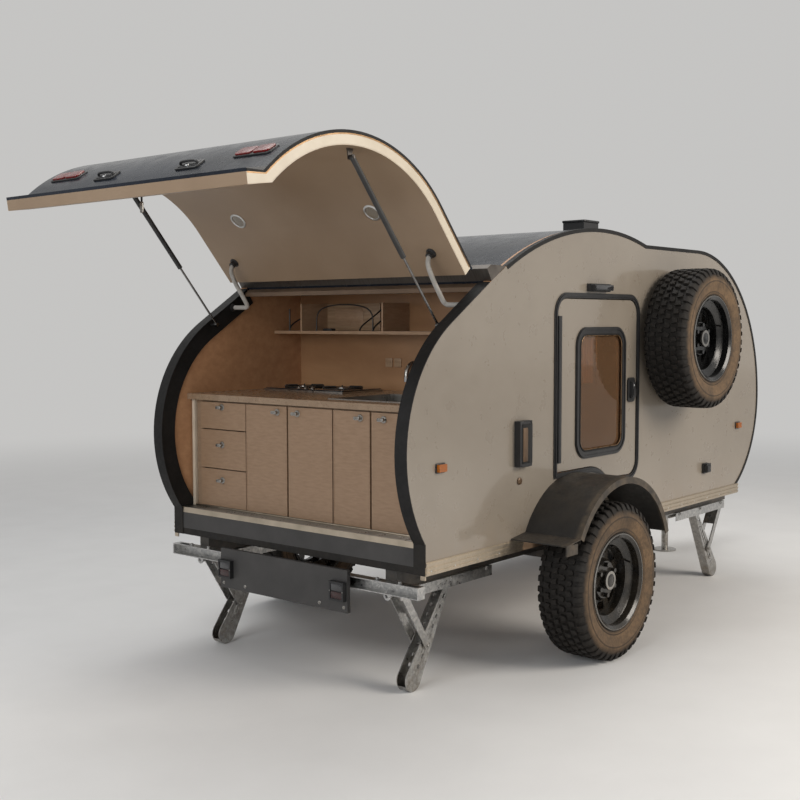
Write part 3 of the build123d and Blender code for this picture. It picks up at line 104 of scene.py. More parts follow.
class Nodes:
    """A small builder for a node tree."""

    def __init__(self, tree):
        self.t = tree

    def link(self, socket, node, name):
        self.t.links.new(socket, node.inputs[name])

    def node(self, kind, settings=(), **inputs):
        """A node with its inputs given by name, or by number as i0, i1 and so on."""
        n = self.t.nodes.new("ShaderNode" + kind)
        for key, value in dict(settings).items():
            setattr(n, key, value)
        for key, value in inputs.items():
            key = int(key[1:]) if key[0] == "i" and key[1:].isdigit() else key.replace("_", " ")
            if isinstance(value, bpy.types.NodeSocket):
                self.link(value, n, key)
            else:
                n.inputs[key].default_value = value
        return n

    def coords(self, stretch=(1, 1, 1)):
        c = self.node("TexCoord").outputs["Object"]
        return self.node("Mapping", Vector=c, Scale=stretch).outputs[0]

    def noise(self, scale, detail=4, rough=0.55, stretch=(1, 1, 1), distortion=0.0):
        return self.node("TexNoise", Vector=self.coords(stretch), Scale=scale, Detail=detail,
                         Roughness=rough, Distortion=distortion).outputs[0]

    def wave(self, direction, scale):
        return self.node("TexWave", {"bands_direction": direction}, Vector=self.coords(),
                         Scale=scale).outputs[0]

    def cells(self, scale):
        """A value of its own for each cell of a crystal pattern."""
        colour = self.node("TexVoronoi", Vector=self.coords(), Scale=scale).outputs["Color"]
        return self.node("SeparateColor", Color=colour).outputs[0]

    def ramp(self, fac, low, high):
        """Maps fac from low..high to 0..1."""
        return self.node("MapRange", i0=fac, i1=low, i2=high).outputs[0]

    def remap(self, fac, low, high, to0, to1):
        return self.node("MapRange", i0=fac, i1=low, i2=high, i3=to0, i4=to1).outputs[0]

    def math(self, op, a, b=0.0):
        return self.node("Math", {"operation": op}, i0=a, i1=b).outputs[0]

    def vector(self, op, a, b=(0, 0, 0), out=0):
        return self.node("VectorMath", {"operation": op}, i0=a, i1=b).outputs[out]

    def mix(self, fac, a, b):
        return self.node("Mix", {"data_type": "RGBA"}, i0=fac, i6=a, i7=b).outputs[2]

    def cloudy(self, dark, light, scale, detail, low=0.3, **noise):
        """A colour that wanders between two with a noise."""
        fac = self.ramp(self.noise(scale, detail, **noise), low, 1 - low)
        return self.mix(fac, rgba(*dark), rgba(*light))

    def axis(self, which, source="Object"):
        c = self.node("TexCoord").outputs[source]
        return self.node("SeparateXYZ", Vector=c).outputs[which]


class Mat(Nodes):
    """A material round one principled shader."""

    def __init__(self, name, **sockets):
        self.m = bpy.data.materials.new(name)
        self.m.use_nodes = True
        super().__init__(self.m.node_tree)
        self.b = self.t.nodes["Principled BSDF"]
        for key, value in sockets.items():
            self.b.inputs[key.replace("_", " ")].default_value = value

    def to(self, socket, value):
        self.link(value, self.b, socket)

    def worn(self, scale, detail, low, high):
        """Roughness that wanders from low to high with a noise."""
        self.to("Roughness", self.remap(self.noise(scale, detail), 0.3, 0.7, low, high))

    def bump(self, height, strength, distance):
        n = self.node("Bump", Height=height, Strength=strength, Distance=distance)
        self.to("Normal", n.outputs[0])

    def other(self, rough, colour):
        """A second shader, for faces that are made of something else."""
        n = self.node("BsdfPrincipled", Roughness=rough)
        self.link(colour, n, "Base Color")
        return n

    def two_faced(self, factor, other):
        """The material's own shader where factor is 1, the other where it is 0."""
        mixed = self.node("MixShader", i0=factor, i1=other.outputs[0], i2=self.b.outputs[0])
        self.link(mixed.outputs[0], self.t.nodes["Material Output"], 0)


def plain(name, dark, light, scale, rough, bump, fine=400, stretch=(1, 1, 1), **sockets):
    """Colour and roughness wander with a slow noise, and a fine noise makes the bump."""
    m = Mat(name, **sockets)
    slow = m.noise(scale, 5, stretch=stretch)
    m.to("Base Color", m.mix(m.ramp(slow, 0.3, 0.7), rgba(*dark), rgba(*light)))
    m.to("Roughness", m.remap(slow, 0.3, 0.7, *rough))
    m.bump(m.noise(fine, 3, stretch=stretch), bump, 0.0005)
    return m


def dusty(m, base, dust, low, high, amount, scale):
    """Dust that fades out from height low to high, in metres."""
    fade = m.math("MULTIPLY", m.remap(m.axis(2), low, high, 1, 0), amount)
    spots = m.ramp(m.noise(scale, 8, 0.7), 0.32, 0.68)
    return m.mix(m.math("MULTIPLY", fade, spots), base, rgba(*dust))


def board(m, dark, light):
    """A second shader for faces that are laminated board instead of paint."""
    n = m.other(0.5, m.cloudy(dark, light, 26, 6, rough=0.6, stretch=(1, 8, 1.2)))
    fine = m.node("Bump", Height=m.noise(300, 3, stretch=(1, 6, 1)), Strength=0.08, Distance=0.0004)
    m.link(fine.outputs[0], n, "Normal")
    return n


def outside_y(m, limit):
    """1 where |y| is beyond the limit, in metres."""
    return m.math("GREATER_THAN", m.math("ABSOLUTE", m.axis(1)), limit)


def faces_out(m, centre):
    """1 where a face looks away from a point inside the body."""
    c = m.node("TexCoord").outputs
    away = m.vector("SUBTRACT", c["Object"], centre)
    return m.math("GREATER_THAN", m.vector("DOT_PRODUCT", away, c["Normal"], "Value"), 0.0)


# BEIGE, for the drawer and cabinet fronts, is darkened as painted shade: the shade under the open hatch
BEIGE = ((0.25, 0.157, 0.094), (0.305, 0.198, 0.124))
# PLY, for the bulkhead and the roof's inner faces, is darkened as painted shade: the deep shade in the
# galley
PLY = ((0.29, 0.15, 0.07), (0.40, 0.222, 0.108))
PALE_PLY = ((0.44, 0.225, 0.11), (0.55, 0.30, 0.155))
DUST = (0.30, 0.23, 0.15)
M = {}

# Walls and doors: dusty paint outside, pale board on every inner face and edge
m = M["paint"] = Mat("body_paint", Coat_Weight=0.7, Coat_Roughness=0.09, IOR=1.5)
base = m.cloudy((0.236, 0.202, 0.163), (0.257, 0.222, 0.18), 2.2, 3, 0.35)
m.to("Base Color", dusty(m, base, (0.25, 0.18, 0.115), 0.52, 0.80, 0.5, 5))
m.worn(14, 6, 0.24, 0.42)
m.bump(m.noise(260, 2), 0.05, 0.0004)
m.two_faced(outside_y(m, WALL / 1000 - FACE), board(m, *PALE_PLY))

# Dark skin, and under the roof plywood on the faces that look inwards
for key, name in (("roof", "roof_skin"), ("skin", "hatch_skin")):
    m = M[key] = Mat(name, Coat_Weight=0.15, Coat_Roughness=0.05, Specular_IOR_Level=0.2)
    m.to("Base Color", m.cloudy((0.009, 0.012, 0.018), (0.016, 0.021, 0.032), 3, 5, 0.35))
    m.worn(18, 7, 0.16, 0.34)
    m.bump(m.noise(60, 2), 0.02, 0.0004)
m = M["roof"]
m.two_faced(faces_out(m, P(450, 0, 1000)), board(m, *PLY))

# Beige lining, and a cream edge on the hatch's two sides: the cream is painted sunlight on those side
# faces
m = M["liner"] = plain("hatch_liner", (0.27, 0.188, 0.122), (0.315, 0.225, 0.15), 3, (0.38, 0.5),
                       0.05, Specular_IOR_Level=0.4)
# cream side faces: painted sunlight
cream = m.other(0.3, m.cloudy((0.62, 0.54, 0.42), (0.70, 0.62, 0.50), 9, 5))
m.two_faced(m.math("SUBTRACT", 1.0, outside_y(m, HATCH / 1000 - FACE)), cream)


def make_wood(name, colours, stretch=(1, 1.3, 9)):
    m = Mat(name, Coat_Weight=0.25, Coat_Roughness=0.2)
    grain = m.noise(7, 9, 0.62, stretch, 1.4)
    rings = m.node("TexWave", {"wave_type": "RINGS"}, Vector=m.coords(stretch), Scale=1.6,
                   Distortion=9.0, Detail=5.0, Detail_Scale=1.2).outputs[0]
    both = m.math("ADD", m.math("MULTIPLY", grain, 0.65), m.math("MULTIPLY", rings, 0.35))
    m.to("Base Color", m.mix(m.ramp(both, 0.25, 0.75), rgba(*colours[0]), rgba(*colours[1])))
    m.to("Roughness", m.remap(both, 0.2, 0.8, 0.34, 0.5))
    m.bump(m.noise(120, 6, 0.6, tuple(4 * s for s in stretch)), 0.10, 0.0005)
    return m


GRAIN = (1, 1, 5)           # the boards' pattern is five times as fine along z
# the bulkhead's plywood, in its tone darkened as painted shade
M["ply"] = make_wood("plywood", PLY, (1, 0.35, 1.0))
M["panel_wood"] = make_wood("pale_plywood", ((0.30, 0.19, 0.11), (0.40, 0.27, 0.165)))

# The shelf, and darker board for the header, which lies to the rear of HEADER_FRONT
HEADER_FRONT = AXLE - 0.55
m = M["shelf"] = plain("shelf_board", (0.33, 0.205, 0.12), (0.42, 0.275, 0.17), 20, (0.38, 0.52),
                       0.08, 260, GRAIN)
grey = m.other(0.45, m.cloudy((0.13, 0.08, 0.048), (0.18, 0.115, 0.07), 9, 5))
m.two_faced(m.math("GREATER_THAN", m.axis(0), HEADER_FRONT), grey)

m = M["worktop"] = Mat("worktop_laminate", Coat_Weight=0.35, Coat_Roughness=0.12)
tone = m.cloudy((0.24, 0.162, 0.102), (0.31, 0.215, 0.14), 16, 6)
m.to("Base Color", m.mix(m.math("GREATER_THAN", m.cells(330.0), 0.93), tone, rgba(0.17, 0.115, 0.075)))
m.worn(40, 5, 0.22, 0.36)
m.bump(m.noise(500, 2), 0.06, 0.0003)

# Plain materials: key, name, two colours, scale, roughness, bump, its scale, stretch, other sockets
METAL = {"Metallic": 1.0}
for key, *row, sockets in (
    # the fronts' beige board, in its tone darkened as painted shade
    ("board", "beige_board", *BEIGE, 20, (0.38, 0.52), 0.08, 260, GRAIN, {}),
    ("carcass", "carcass_board", (0.22, 0.142, 0.088), (0.28, 0.188, 0.12), 20, (0.45, 0.6), 0.08, 260,
     GRAIN, {}),
    ("steel", "brushed_steel", (0.3, 0.285, 0.265), (0.4, 0.385, 0.36), 9, (0.24, 0.4), 0.08, 500,
     (1, 6, 1), METAL),
    ("chrome", "chrome", (0.7, 0.7, 0.7), (0.82, 0.82, 0.82), 20, (0.06, 0.14), 0.02, 300, METAL),
    ("alu", "satin_aluminium", (0.52, 0.52, 0.51), (0.68, 0.67, 0.65), 14, (0.26, 0.42), 0.1, 420,
     (12, 1, 1), METAL),
    ("trims", "ribbed_aluminium", (0.42, 0.36, 0.28), (0.56, 0.48, 0.385), 14, (0.3, 0.5), 0.1, 420,
     (12, 1, 1), METAL),
    # the hinge rail and hinges: aluminium darkened as painted shade
    ("rail", "hinge_rail", (0.085, 0.075, 0.066), (0.13, 0.117, 0.105), 14, (0.36, 0.5), 0.08, 420,
     (1, 12, 1), {"Metallic": 0.8}),
    ("rod", "strut_rod", (0.16, 0.155, 0.15), (0.24, 0.235, 0.23), 30, (0.12, 0.24), 0.03, 300, METAL),
    ("bronze", "bronze_plate", (0.22, 0.13, 0.06), (0.34, 0.21, 0.11), 16, (0.22, 0.4), 0.08, 300,
     {"Metallic": 0.7}),
    ("brown", "brown_metal", (0.085, 0.05, 0.026), (0.13, 0.08, 0.045), 22, (0.3, 0.45), 0.08, 300,
     {"Metallic": 0.4}),
    ("panel", "grey_panel", (0.043, 0.041, 0.04), (0.062, 0.059, 0.057), 8, (0.4, 0.55), 0.12, 300,
     {"Specular_IOR_Level": 0.3}),
    ("hose", "conduit_grey", (0.36, 0.34, 0.31), (0.46, 0.44, 0.41), 30, (0.4, 0.6), 0.1, 300, {}),
    ("cream", "cream_edge", (0.5, 0.42, 0.32), (0.6, 0.51, 0.4), 12, (0.3, 0.45), 0.06, {}),
    ("edging", "worktop_edging", (0.38, 0.27, 0.185), (0.48, 0.36, 0.26), 18, (0.25, 0.4), 0.06, 300,
     (1, 6, 1), {}),
    ("iron", "black_wire", (0.012, 0.011, 0.01), (0.03, 0.026, 0.022), 30, (0.35, 0.6), 0.3, 300, {}),
    ("curtain", "blind_cloth", (0.42, 0.33, 0.24), (0.52, 0.42, 0.32), 20, (0.8, 0.95), 0.3, 700,
     {"Sheen_Weight": 0.3}),
    ("smoke", "smoked_cover", (0.02, 0.02, 0.022), (0.035, 0.035, 0.038), 10, (0.06, 0.16), 0.02,
     {"Coat_Weight": 0.6}),
    # near-black plates that are painted shade inside slots and boxes
    ("painted_shade", "slot_shadow", (0.004, 0.004, 0.004), (0.008, 0.008, 0.008), 30, (0.8, 0.95), 0.1, {}),
):
    M[key] = plain(*row, **sockets)

m = M["zinc"] = Mat("zinc_plate", Metallic=1.0)
tone = m.mix(m.cells(90.0), rgba(0.36, 0.36, 0.36), rgba(0.54, 0.535, 0.52))
m.to("Base Color", dusty(m, tone, (0.20, 0.16, 0.11), 0.0, 0.42, 0.85, 22))
m.worn(60, 6, 0.24, 0.48)
m.bump(m.noise(320, 4), 0.12, 0.0004)


def make_black(name, low, high, rough, grain, bump, dust, top=0.75, coat=0.0, shine=0.5):
    m = Mat(name, Coat_Weight=coat, Coat_Roughness=0.15, Specular_IOR_Level=shine)
    m.to("Base Color", dusty(m, m.cloudy(low, high, 12, 6), DUST, 0.0, top, dust, 14))
    m.worn(50, 5, *rough)
    m.bump(m.noise(grain, 3), bump, 0.0005)
    return m


M["black"] = make_black("black_plastic", (0.011, 0.011, 0.012), (0.02, 0.02, 0.021), (0.34, 0.5),
                        420, 0.3, 0.1)
M["seal"] = make_black("seal_rubber", (0.006, 0.006, 0.006), (0.012, 0.011, 0.011), (0.5, 0.68), 300,
                       0.15, 0.1, 0.9, shine=0.25)
M["frame"] = make_black("frame_paint", (0.014, 0.014, 0.015), (0.03, 0.029, 0.028), (0.35, 0.6), 160,
                        0.25, 0.75, 0.62)
M["rim"] = make_black("rim_gloss", (0.005, 0.005, 0.005), (0.010, 0.010, 0.010), (0.16, 0.34), 200,
                      0.05, 0.12, 1.2, 0.35, 0.3)

# Wings, with tan dust on their tops, and tan on their outer lips that is partly dust and partly painted
# sunlight
m = M["wing"] = make_black("black_wing", (0.010, 0.010, 0.010), (0.020, 0.019, 0.018), (0.42, 0.62),
                           260, 0.45, 0.12, 0.9, shine=0.35)
# outer lips: tan that is partly dust and partly painted sunlight
lip_dust_and_sunlight = m.ramp(m.math("ABSOLUTE", m.axis(1)), 1.015, 1.03)
up = m.ramp(m.axis(2, "Normal"), 0.55, 0.95)
both = m.math("MAXIMUM", m.math("MULTIPLY", lip_dust_and_sunlight, 0.2), m.math("MULTIPLY", up, 0.07))
cloud = m.ramp(m.noise(16, 7, 0.65), 0.3, 0.65)
bare = m.b.inputs["Base Color"].links[0].from_socket
m.to("Base Color", m.mix(m.math("MULTIPLY", both, cloud), bare, rgba(0.36, 0.26, 0.16)))


def make_tyre(name, centre):
    """Rubber with dust on its sides, between two distances from the wheel's axis, and darker lines of
    painted shade at the moulded rings.
    """
    m = Mat(name, Specular_IOR_Level=0.3)
    flat = m.vector("MULTIPLY", m.node("TexCoord").outputs["Object"], (1, 0, 1))
    away = m.vector("DISTANCE", flat, centre, "Value")
    side = m.math("MULTIPLY", m.ramp(away, 0.222, 0.236), m.remap(away, 0.300, 0.328, 1, 0))
    for ring in (0.2385, 0.294):        # painted shade: darker lines at the moulded rings
        near = m.math("ABSOLUTE", m.math("SUBTRACT", away, ring))
        side = m.math("MULTIPLY", side, m.remap(near, 0.001, 0.005, 0.3, 1))
    cloud = m.math("MULTIPLY", m.remap(m.noise(7, 8, 0.68), 0.34, 0.66, 0.35, 1.0),
                   m.remap(m.noise(60, 5, 0.7), 0.32, 0.6, 0.6, 1.0))
    film = m.math("ADD", m.math("MULTIPLY", side, 0.75), 0.03)
    tone = m.cloudy((0.007, 0.0065, 0.006), (0.014, 0.013, 0.012), 60, 4)
    m.to("Base Color", m.mix(m.math("MULTIPLY", film, cloud), tone, rgba(0.25, 0.16, 0.09)))
    m.to("Roughness", m.remap(cloud, 0.2, 1, 0.66, 0.88))
    m.bump(m.noise(380, 5, 0.7), 0.35, 0.0008)
    return m


M["tyre"] = make_tyre("tyre_rubber", P(WHEEL[0], 0, WHEEL[2]))
M["spare"] = make_tyre("spare_tyre_rubber", P(SPARE[0], 0, SPARE[2]))

m = M["glass"] = Mat("tinted_glass", Transmission_Weight=0.85, IOR=1.45)
m.to("Base Color", m.cloudy((0.46, 0.27, 0.145), (0.58, 0.36, 0.21), 2, 3))
m.worn(22, 4, 0.02, 0.07)
m.bump(m.noise(6, 2), 0.02, 0.001)


def make_lens(name, colour):
    m = Mat(name, Transmission_Weight=0.35, IOR=1.5, Coat_Weight=0.3, Coat_Roughness=0.08)
    ribs = m.wave("Y", 140.0)
    m.to("Base Color", m.mix(ribs, rgba(*(0.55 * c for c in colour)), rgba(*colour)))
    m.worn(80, 2, 0.12, 0.24)
    m.bump(ribs, 0.2, 0.0008)
    return m


# The hatch's tail lamps: a red darkened as painted shade
M["dark_red"] = make_lens("dark_red_lens", (0.34, 0.012, 0.010))
M["wine"] = make_lens("wine_lens", (0.05, 0.006, 0.006))
M["clear"] = make_lens("clear_lens", (0.40, 0.34, 0.26))

# Lamps of the body: amber markers, and black housings to the rear of LIGHT_BOARD
LIGHT_BOARD = AXLE - 1.09
m = M["lamps"] = make_lens("lamp_housings", (0.85, 0.24, 0.02))
shell = m.other(0.4, m.mix(m.noise(40), rgba(0.008, 0.008, 0.009), rgba(0.018, 0.018, 0.019)))
m.two_faced(m.math("GREATER_THAN", m.axis(0), LIGHT_BOARD), shell)

m = M["fabric"] = Mat("mattress_fabric", Sheen_Weight=0.35, Sheen_Roughness=0.5)
weave = m.math("MULTIPLY", m.wave("X", 150.0), m.wave("Y", 150.0))
m.to("Base Color", m.cloudy((0.42, 0.40, 0.36), (0.54, 0.52, 0.47), 8, 6))
m.to("Roughness", m.remap(weave, 0, 1, 0.75, 0.95))
m.bump(weave, 0.4, 0.0012)

# The solids' materials, by how their names start
CAD = {
    "paint": "side_wall_ door_right door_left",
    "roof": "roof", "skin": "hatch_shell", "liner": "hatch_liner", "ply": "bulkhead",
    "board": "drawer_ cabinet_door_", "shelf": "galley_shelf", "carcass": "galley_carcass floor",
    "worktop": "worktop", "steel": "sink_and_hob",
    "black": "door_frames door_trim_ body_fittings spare_bracket",
    "wing": "wings", "seal": "edge_seals", "glass": "door_glass_",
    "rail": "hinge_rail hatch_hinges", "trims": "aluminium_trims",
    "zinc": "coupler jack_ steady_", "frame": "chassis_frame axle strut_tube_", "rod": "strut_rod_",
    "lamps": "lamps", "tyre": "tyre_", "spare": "spare_tyre", "rim": "rim_ spare_rim",
    "fabric": "mattress", "panel": "rear_panels", "hose": "conduits",
}
for name, o in nodes.items():
    key = next(k for k, starts in CAD.items() if name.startswith(tuple(starts.split())))
    o.data.materials.clear()
    o.data.materials.append(M[key].m)

# Helpers for added pieces

WORLD = Matrix.Translation((AXLE, 0, 0)) @ Matrix.Diagonal((0.001, 0.001, 0.001, 1))
SHARP = math.radians(34)        # edges that bend more are drawn sharp


def placed(p, normal, along):
    """A placement whose local z is the normal and whose local x is nearest to along."""
    z = Vector(normal).normalized()
    y = z.cross(Vector(along)).normalized()
    x = y.cross(z)
    turn = Matrix((x, y, z)).transposed().to_4x4()
    return WORLD @ Matrix.Translation(Vector(p)) @ turn


def upward(x, y, z):
    return placed((x, y, z), (0, 0, 1), (1, 0, 0))


def rearward(x, y, z):
    return placed((x, y, z), (-1, 0, 0), (0, 1, 0))


def sideward(x, s, y, z):
    """A placement that looks outwards on the side s, y from the middle."""
    return placed((x, s * y, z), (0, s, 0), (1, 0, 0))


def shifted(at, x, y):
    return at @ Matrix.Translation((x, y, 0))


def in_xz(points, y):
    return [(x, y, z) for x, z in points]


def hexagon(r):
    return [polar(r, 60 * k) for k in range(6)]


def round_rect(x0, x1, y0, y1, r, n=5):
    """Corner points of a rectangle with round corners."""
    corners = ((x1 - r, y1 - r, 0), (x0 + r, y1 - r, 90), (x0 + r, y0 + r, 180), (x1 - r, y0 + r, 270))
    return [polar(r, start + 90 * k / n, cx, cy) for cx, cy, start in corners for k in range(n + 1)]


def bridge(bm, rows, capped=True):
    """Faces between rings of corners, and over the first and the last ring."""
    for a, b in zip(rows, rows[1:]):
        for j in range(len(a)):
            k = (j + 1) % len(a)
            bm.faces.new((a[j], a[k], b[k], b[j]))
    if capped:
        bm.faces.new(rows[0])
        bm.faces.new(rows[-1])


class Kit:
    """Collects simple forms and joins them into one mesh object."""

    def __init__(self):
        self.verts, self.faces, self.which, self.keys = [], [], [], []

    def take(self, bm, key, at):
        if key not in self.keys:
            self.keys.append(key)
        bmesh.ops.recalc_face_normals(bm, faces=bm.faces[:])
        bm.verts.index_update()
        base = len(self.verts)
        self.verts += [at @ v.co for v in bm.verts]
        self.faces += [[base + v.index for v in f.verts] for f in bm.faces]
        self.which += [self.keys.index(key)] * len(bm.faces)
        bm.free()

    def slab(self, points, z0, z1, key, r, at=WORLD, seg=2):
        """A polygon in local x and y from z0 to z1, with its edges rounded."""
        bm = bmesh.new()
        face = bm.faces.new([bm.verts.new((x, y, z0)) for x, y in points])
        made = bmesh.ops.extrude_face_region(bm, geom=[face])["geom"]
        top = [v for v in made if isinstance(v, bmesh.types.BMVert)]
        bmesh.ops.translate(bm, vec=(0, 0, z1 - z0), verts=top)
        bmesh.ops.bevel(bm, geom=bm.edges[:], offset=r, segments=seg, profile=0.5, affect="EDGES",
                        clamp_overlap=True)
        self.take(bm, key, at)

    def box(self, lo, hi, key, r):
        (x0, y0, z0), (x1, y1, z1) = lo, hi
        self.slab(((x0, y0), (x1, y0), (x1, y1), (x0, y1)), z0, z1, key, r)

    def plate(self, key, x0, x1, y0, y1, r, z0, z1, edge, at, seg=2):
        """A slab with round corners."""
        self.slab(round_rect(x0, x1, y0, y1, r), z0, z1, key, edge, at, seg)

    def lathe(self, profile, key, at, n=28):
        """Turns an outline of (radius, height) about the local z."""
        bm = bmesh.new()
        rows = [[bm.verts.new((*polar(r, 360 * k / n), z)) for r, z in profile] for k in range(n)]
        for k in range(n):
            a, b = rows[k], rows[(k + 1) % n]
            for j in range(len(profile) - 1):
                bm.faces.new((a[j], b[j], b[j + 1], a[j + 1]))
        bmesh.ops.remove_doubles(bm, verts=bm.verts[:], dist=1e-5)
        self.take(bm, key, at)

    def dots(self, places, profile, key, at, n=10):
        """The same turned form at each place of the local xy plane."""
        for x, y in places:
            self.lathe(profile, key, shifted(at, x, y), n)

    def tube(self, points, r, key, n=10, at=WORLD, soft=0, loop=False):
        """A round bar along points, with the corners eased by soft rounds of cutting.

        r is its radius, or a list with one for each point that is left after the cutting.
        """
        pts = [Vector(p) for p in points]
        for _ in range(soft):
            new = []
            for a, b in zip(pts, pts[1:]):
                new += [a.lerp(b, 0.25), a.lerp(b, 0.75)]
            pts = [pts[0]] + new[1:-1] + [pts[-1]]
        count = len(pts)
        bm = bmesh.new()
        rows = []
        up = None
        for k, p in enumerate(pts):
            before = pts[k - 1] if k or loop else p
            after = pts[(k + 1) % count] if k < count - 1 or loop else p
            t = (after - before).normalized()
            if up is None:
                up = t.orthogonal().normalized()
            up = (up - t * up.dot(t)).normalized()
            side = t.cross(up)
            size = r[k] if isinstance(r, list) else r
            turns = [2 * math.pi * j / n for j in range(n)]
            rows.append([bm.verts.new(p + (up * math.cos(a) + side * math.sin(a)) * size) for a in turns])
        if loop:        # the first ring again, turned to meet the last one
            gap = [(v.co - rows[-1][0].co).length for v in rows[0]]
            s = gap.index(min(gap))
            rows.append(rows[0][s:] + rows[0][:s])
        bridge(bm, rows, not loop)
        self.take(bm, key, at)

    def bolt(self, r, at, key="zinc"):
        """A hexagon head on a washer, standing on the local xy plane."""
        self.lathe(((0, 0), (r * 1.9, 0), (r * 1.9, 1.2), (r * 1.75, 1.6), (0, 1.6)), key, at, 20)
        self.slab(hexagon(r * 1.15), 1.6, 1.6 + r * 0.9, key, r * 0.12, at)

    def done(self, name, body):
        mesh = bpy.data.meshes.new(name)
        mesh.from_pydata(self.verts, [], self.faces)
        for key in self.keys:
            mesh.materials.append(M[key].m)
        mesh.polygons.foreach_set("material_index", self.which)
        mesh.shade_smooth()
        mesh.update()
        bm = bmesh.new()
        bm.from_mesh(mesh)
        for e in bm.edges:
            if len(e.link_faces) == 2 and e.calc_face_angle(0) > SHARP:
                e.smooth = False
        bm.to_mesh(mesh)
        bm.free()
        o = add(name, mesh)
        if body:
            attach(o, body)
        return o


def cloth(name, bm, key):
    """A smooth object of one material."""
    mesh = bpy.data.meshes.new(name)
    bm.to_mesh(mesh)
    bm.free()
    mesh.shade_smooth()
    mesh.materials.append(M[key].m)
    return add(name, mesh)


# The open hatch. Its places are those of the closed hatch, turned about the hinge

HINGE = (-680.08, 1770.09)
OPEN = math.radians(-82)
ARC = (-575.0, 1013.0)          # middle of the walls' rear arc
ARC_R = 612
ARC_TOP = 122.569               # in degrees, where the straight stretch to the hinge begins
ARC_TURN = 93.28                # from there to the upright end
ARC_STEPS = 36
STRAIGHT = 300.0                # length of the straight stretch
END_X, END_Z = -1071, 541.0     # the upright end
INNER, OUTER = 5, 60            # the hatch's two faces, out from the walls' edge


def turned(dx, dz):
    return (dx * math.cos(OPEN) - dz * math.sin(OPEN), dx * math.sin(OPEN) + dz * math.cos(OPEN))


def opened(x, z):
    dx, dz = turned(x - HINGE[0], z - HINGE[1])
    return HINGE[0] + dx, HINGE[1] + dz


def on_arc(out, deg, y):
    """A placement on one face of the hatch's round part, local z away from it, local x across it."""
    x, z = opened(*polar(ARC_R + out, deg, *ARC))
    nx, nz = turned(*polar(1, deg))
    k = -1 if out == INNER else 1
    return placed((x, y, z), (k * nx, 0, k * nz), (0, 1, 0))


def hatch_band(kit, out0, out1, y0, y1, key):
    """A bar of rectangular section along the hatch's side, from its hinge to its end."""
    nx, nz = polar(1, ARC_TOP)
    rows = []
    for out in (out0, out1):
        x, z = ARC[0] + (ARC_R + out) * nx, ARC[1] + (ARC_R + out) * nz
        line = [(x + s * nz, z - s * nx) for s in (STRAIGHT, STRAIGHT / 2)]
        line += [polar(ARC_R + out, ARC_TOP + ARC_TURN * k / ARC_STEPS, *ARC)
                 for k in range(ARC_STEPS + 1)]
        line.append((END_X - out, END_Z))
        rows.append([opened(*p) for p in line])
    bm = bmesh.new()
    rings = []
    for (ax, az), (bx, bz) in zip(*rows):
        corners = ((ax, y0, az), (bx, y0, bz), (bx, y1, bz), (ax, y1, az))
        rings.append([bm.verts.new(v) for v in corners])
    bridge(bm, rings)
    kit.take(bm, key, WORLD)


kit = Kit()
for s in (-1, 1):
    hatch_band(kit, 43, 48, s * HATCH, s * (HATCH + 1.2), "bronze")
    hatch_band(kit, 49, 58, s * HATCH, s * (HATCH + 2), "seal")
    hatch_band(kit, 6.5, 8.5, s * HATCH, s * (HATCH + 0.8), "cream")
kit.done("hatch_edge_strips", "hatch")

kit = Kit()
for s in (-1, 1):
    at = on_arc(OUTER, 203.5, s * 560)
    kit.plate("black", -95, 95, -36, 36, 16, -3, 5, 2.5, at, 3)
    kit.plate("dark_red", -86, -6, -28, 28, 12, 4, 12, 3.5, at, 3)
    kit.plate("dark_red", 2, 86, -28, 28, 12, 4, 11, 3, at, 3)
    kit.dots(((-91, 0), (91, 0)), ((0, 6.6), (1.6, 6.4), (2.2, 4.5)), "chrome", at, 12)
kit.done("hatch_tail_lamps", "hatch")

kit = Kit()
for s in (-1, 1):
    at = on_arc(OUTER, 207.5, s * 250)
    kit.plate("black", -62, 62, -30, 30, 12, -3, 6, 2.5, at, 3)
    kit.plate("black", -50, 50, -20, 20, 8, 5, 8, 1.2, at)
    kit.tube([(-46, 0, 5), (-46, 0, 14), (-30, 0, 19), (30, 0, 19), (46, 0, 14), (46, 0, 5)], 5,
             "black", 12, at, 2)
    kit.dots([(0, 12)], ((0, 12), (7, 12), (8, 10.5), (8, 4)), "chrome", at, 20)
kit.done("hatch_handles", "hatch")

kit = Kit()
for s, deg in ((-1, 125.5), (1, 126.8)):
    at = on_arc(INNER, deg, s * 402)
    kit.lathe(((40, -2), (41, 2.4), (38, 4.2), (33, 4.4), (31, 2.6), (31, -2)), "alu", at, 36)
    kit.lathe(((0, 2.6), (16, 2.4), (31.5, 1.2)), "clear", at, 36)
    kit.dots(((-35, 0), (35, 0)), ((0, 5.2), (1.8, 5), (2.2, 4)), "chrome", at)
kit.done("hatch_lamps", "hatch")

# Latches and lock, where the rear panel leaves them room when the hatch is closed
LATCH = 211.0
kit = Kit()
for y, size in ((-400, 0.65), (400, 0.65), (-123, 0.5)):
    at = on_arc(INNER, LATCH, y) @ Matrix.Scale(size, 4)
    kit.plate("steel", -24, 24, -34, 30, 6, -1, 3, 1, at)
    kit.slab(((-11, -30), (11, -30), (11, -6), (-11, -6)), 3, 26, "steel", 3, at)
    kit.tube([(-14, -18, 20), (14, -18, 20)], 5, "chrome", 12, at)
    kit.tube([(0, -14, 22), (0, 4, 30), (0, 26, 34), (0, 44, 26)], 5.5, "chrome", 12, at, 2)
    kit.dots(((-18, 22), (18, 22), (-18, -26), (18, -26)), ((0, 4.8), (2.6, 4.4), (3.2, 3)),
             "chrome", at)
kit.done("hatch_latches", "hatch")

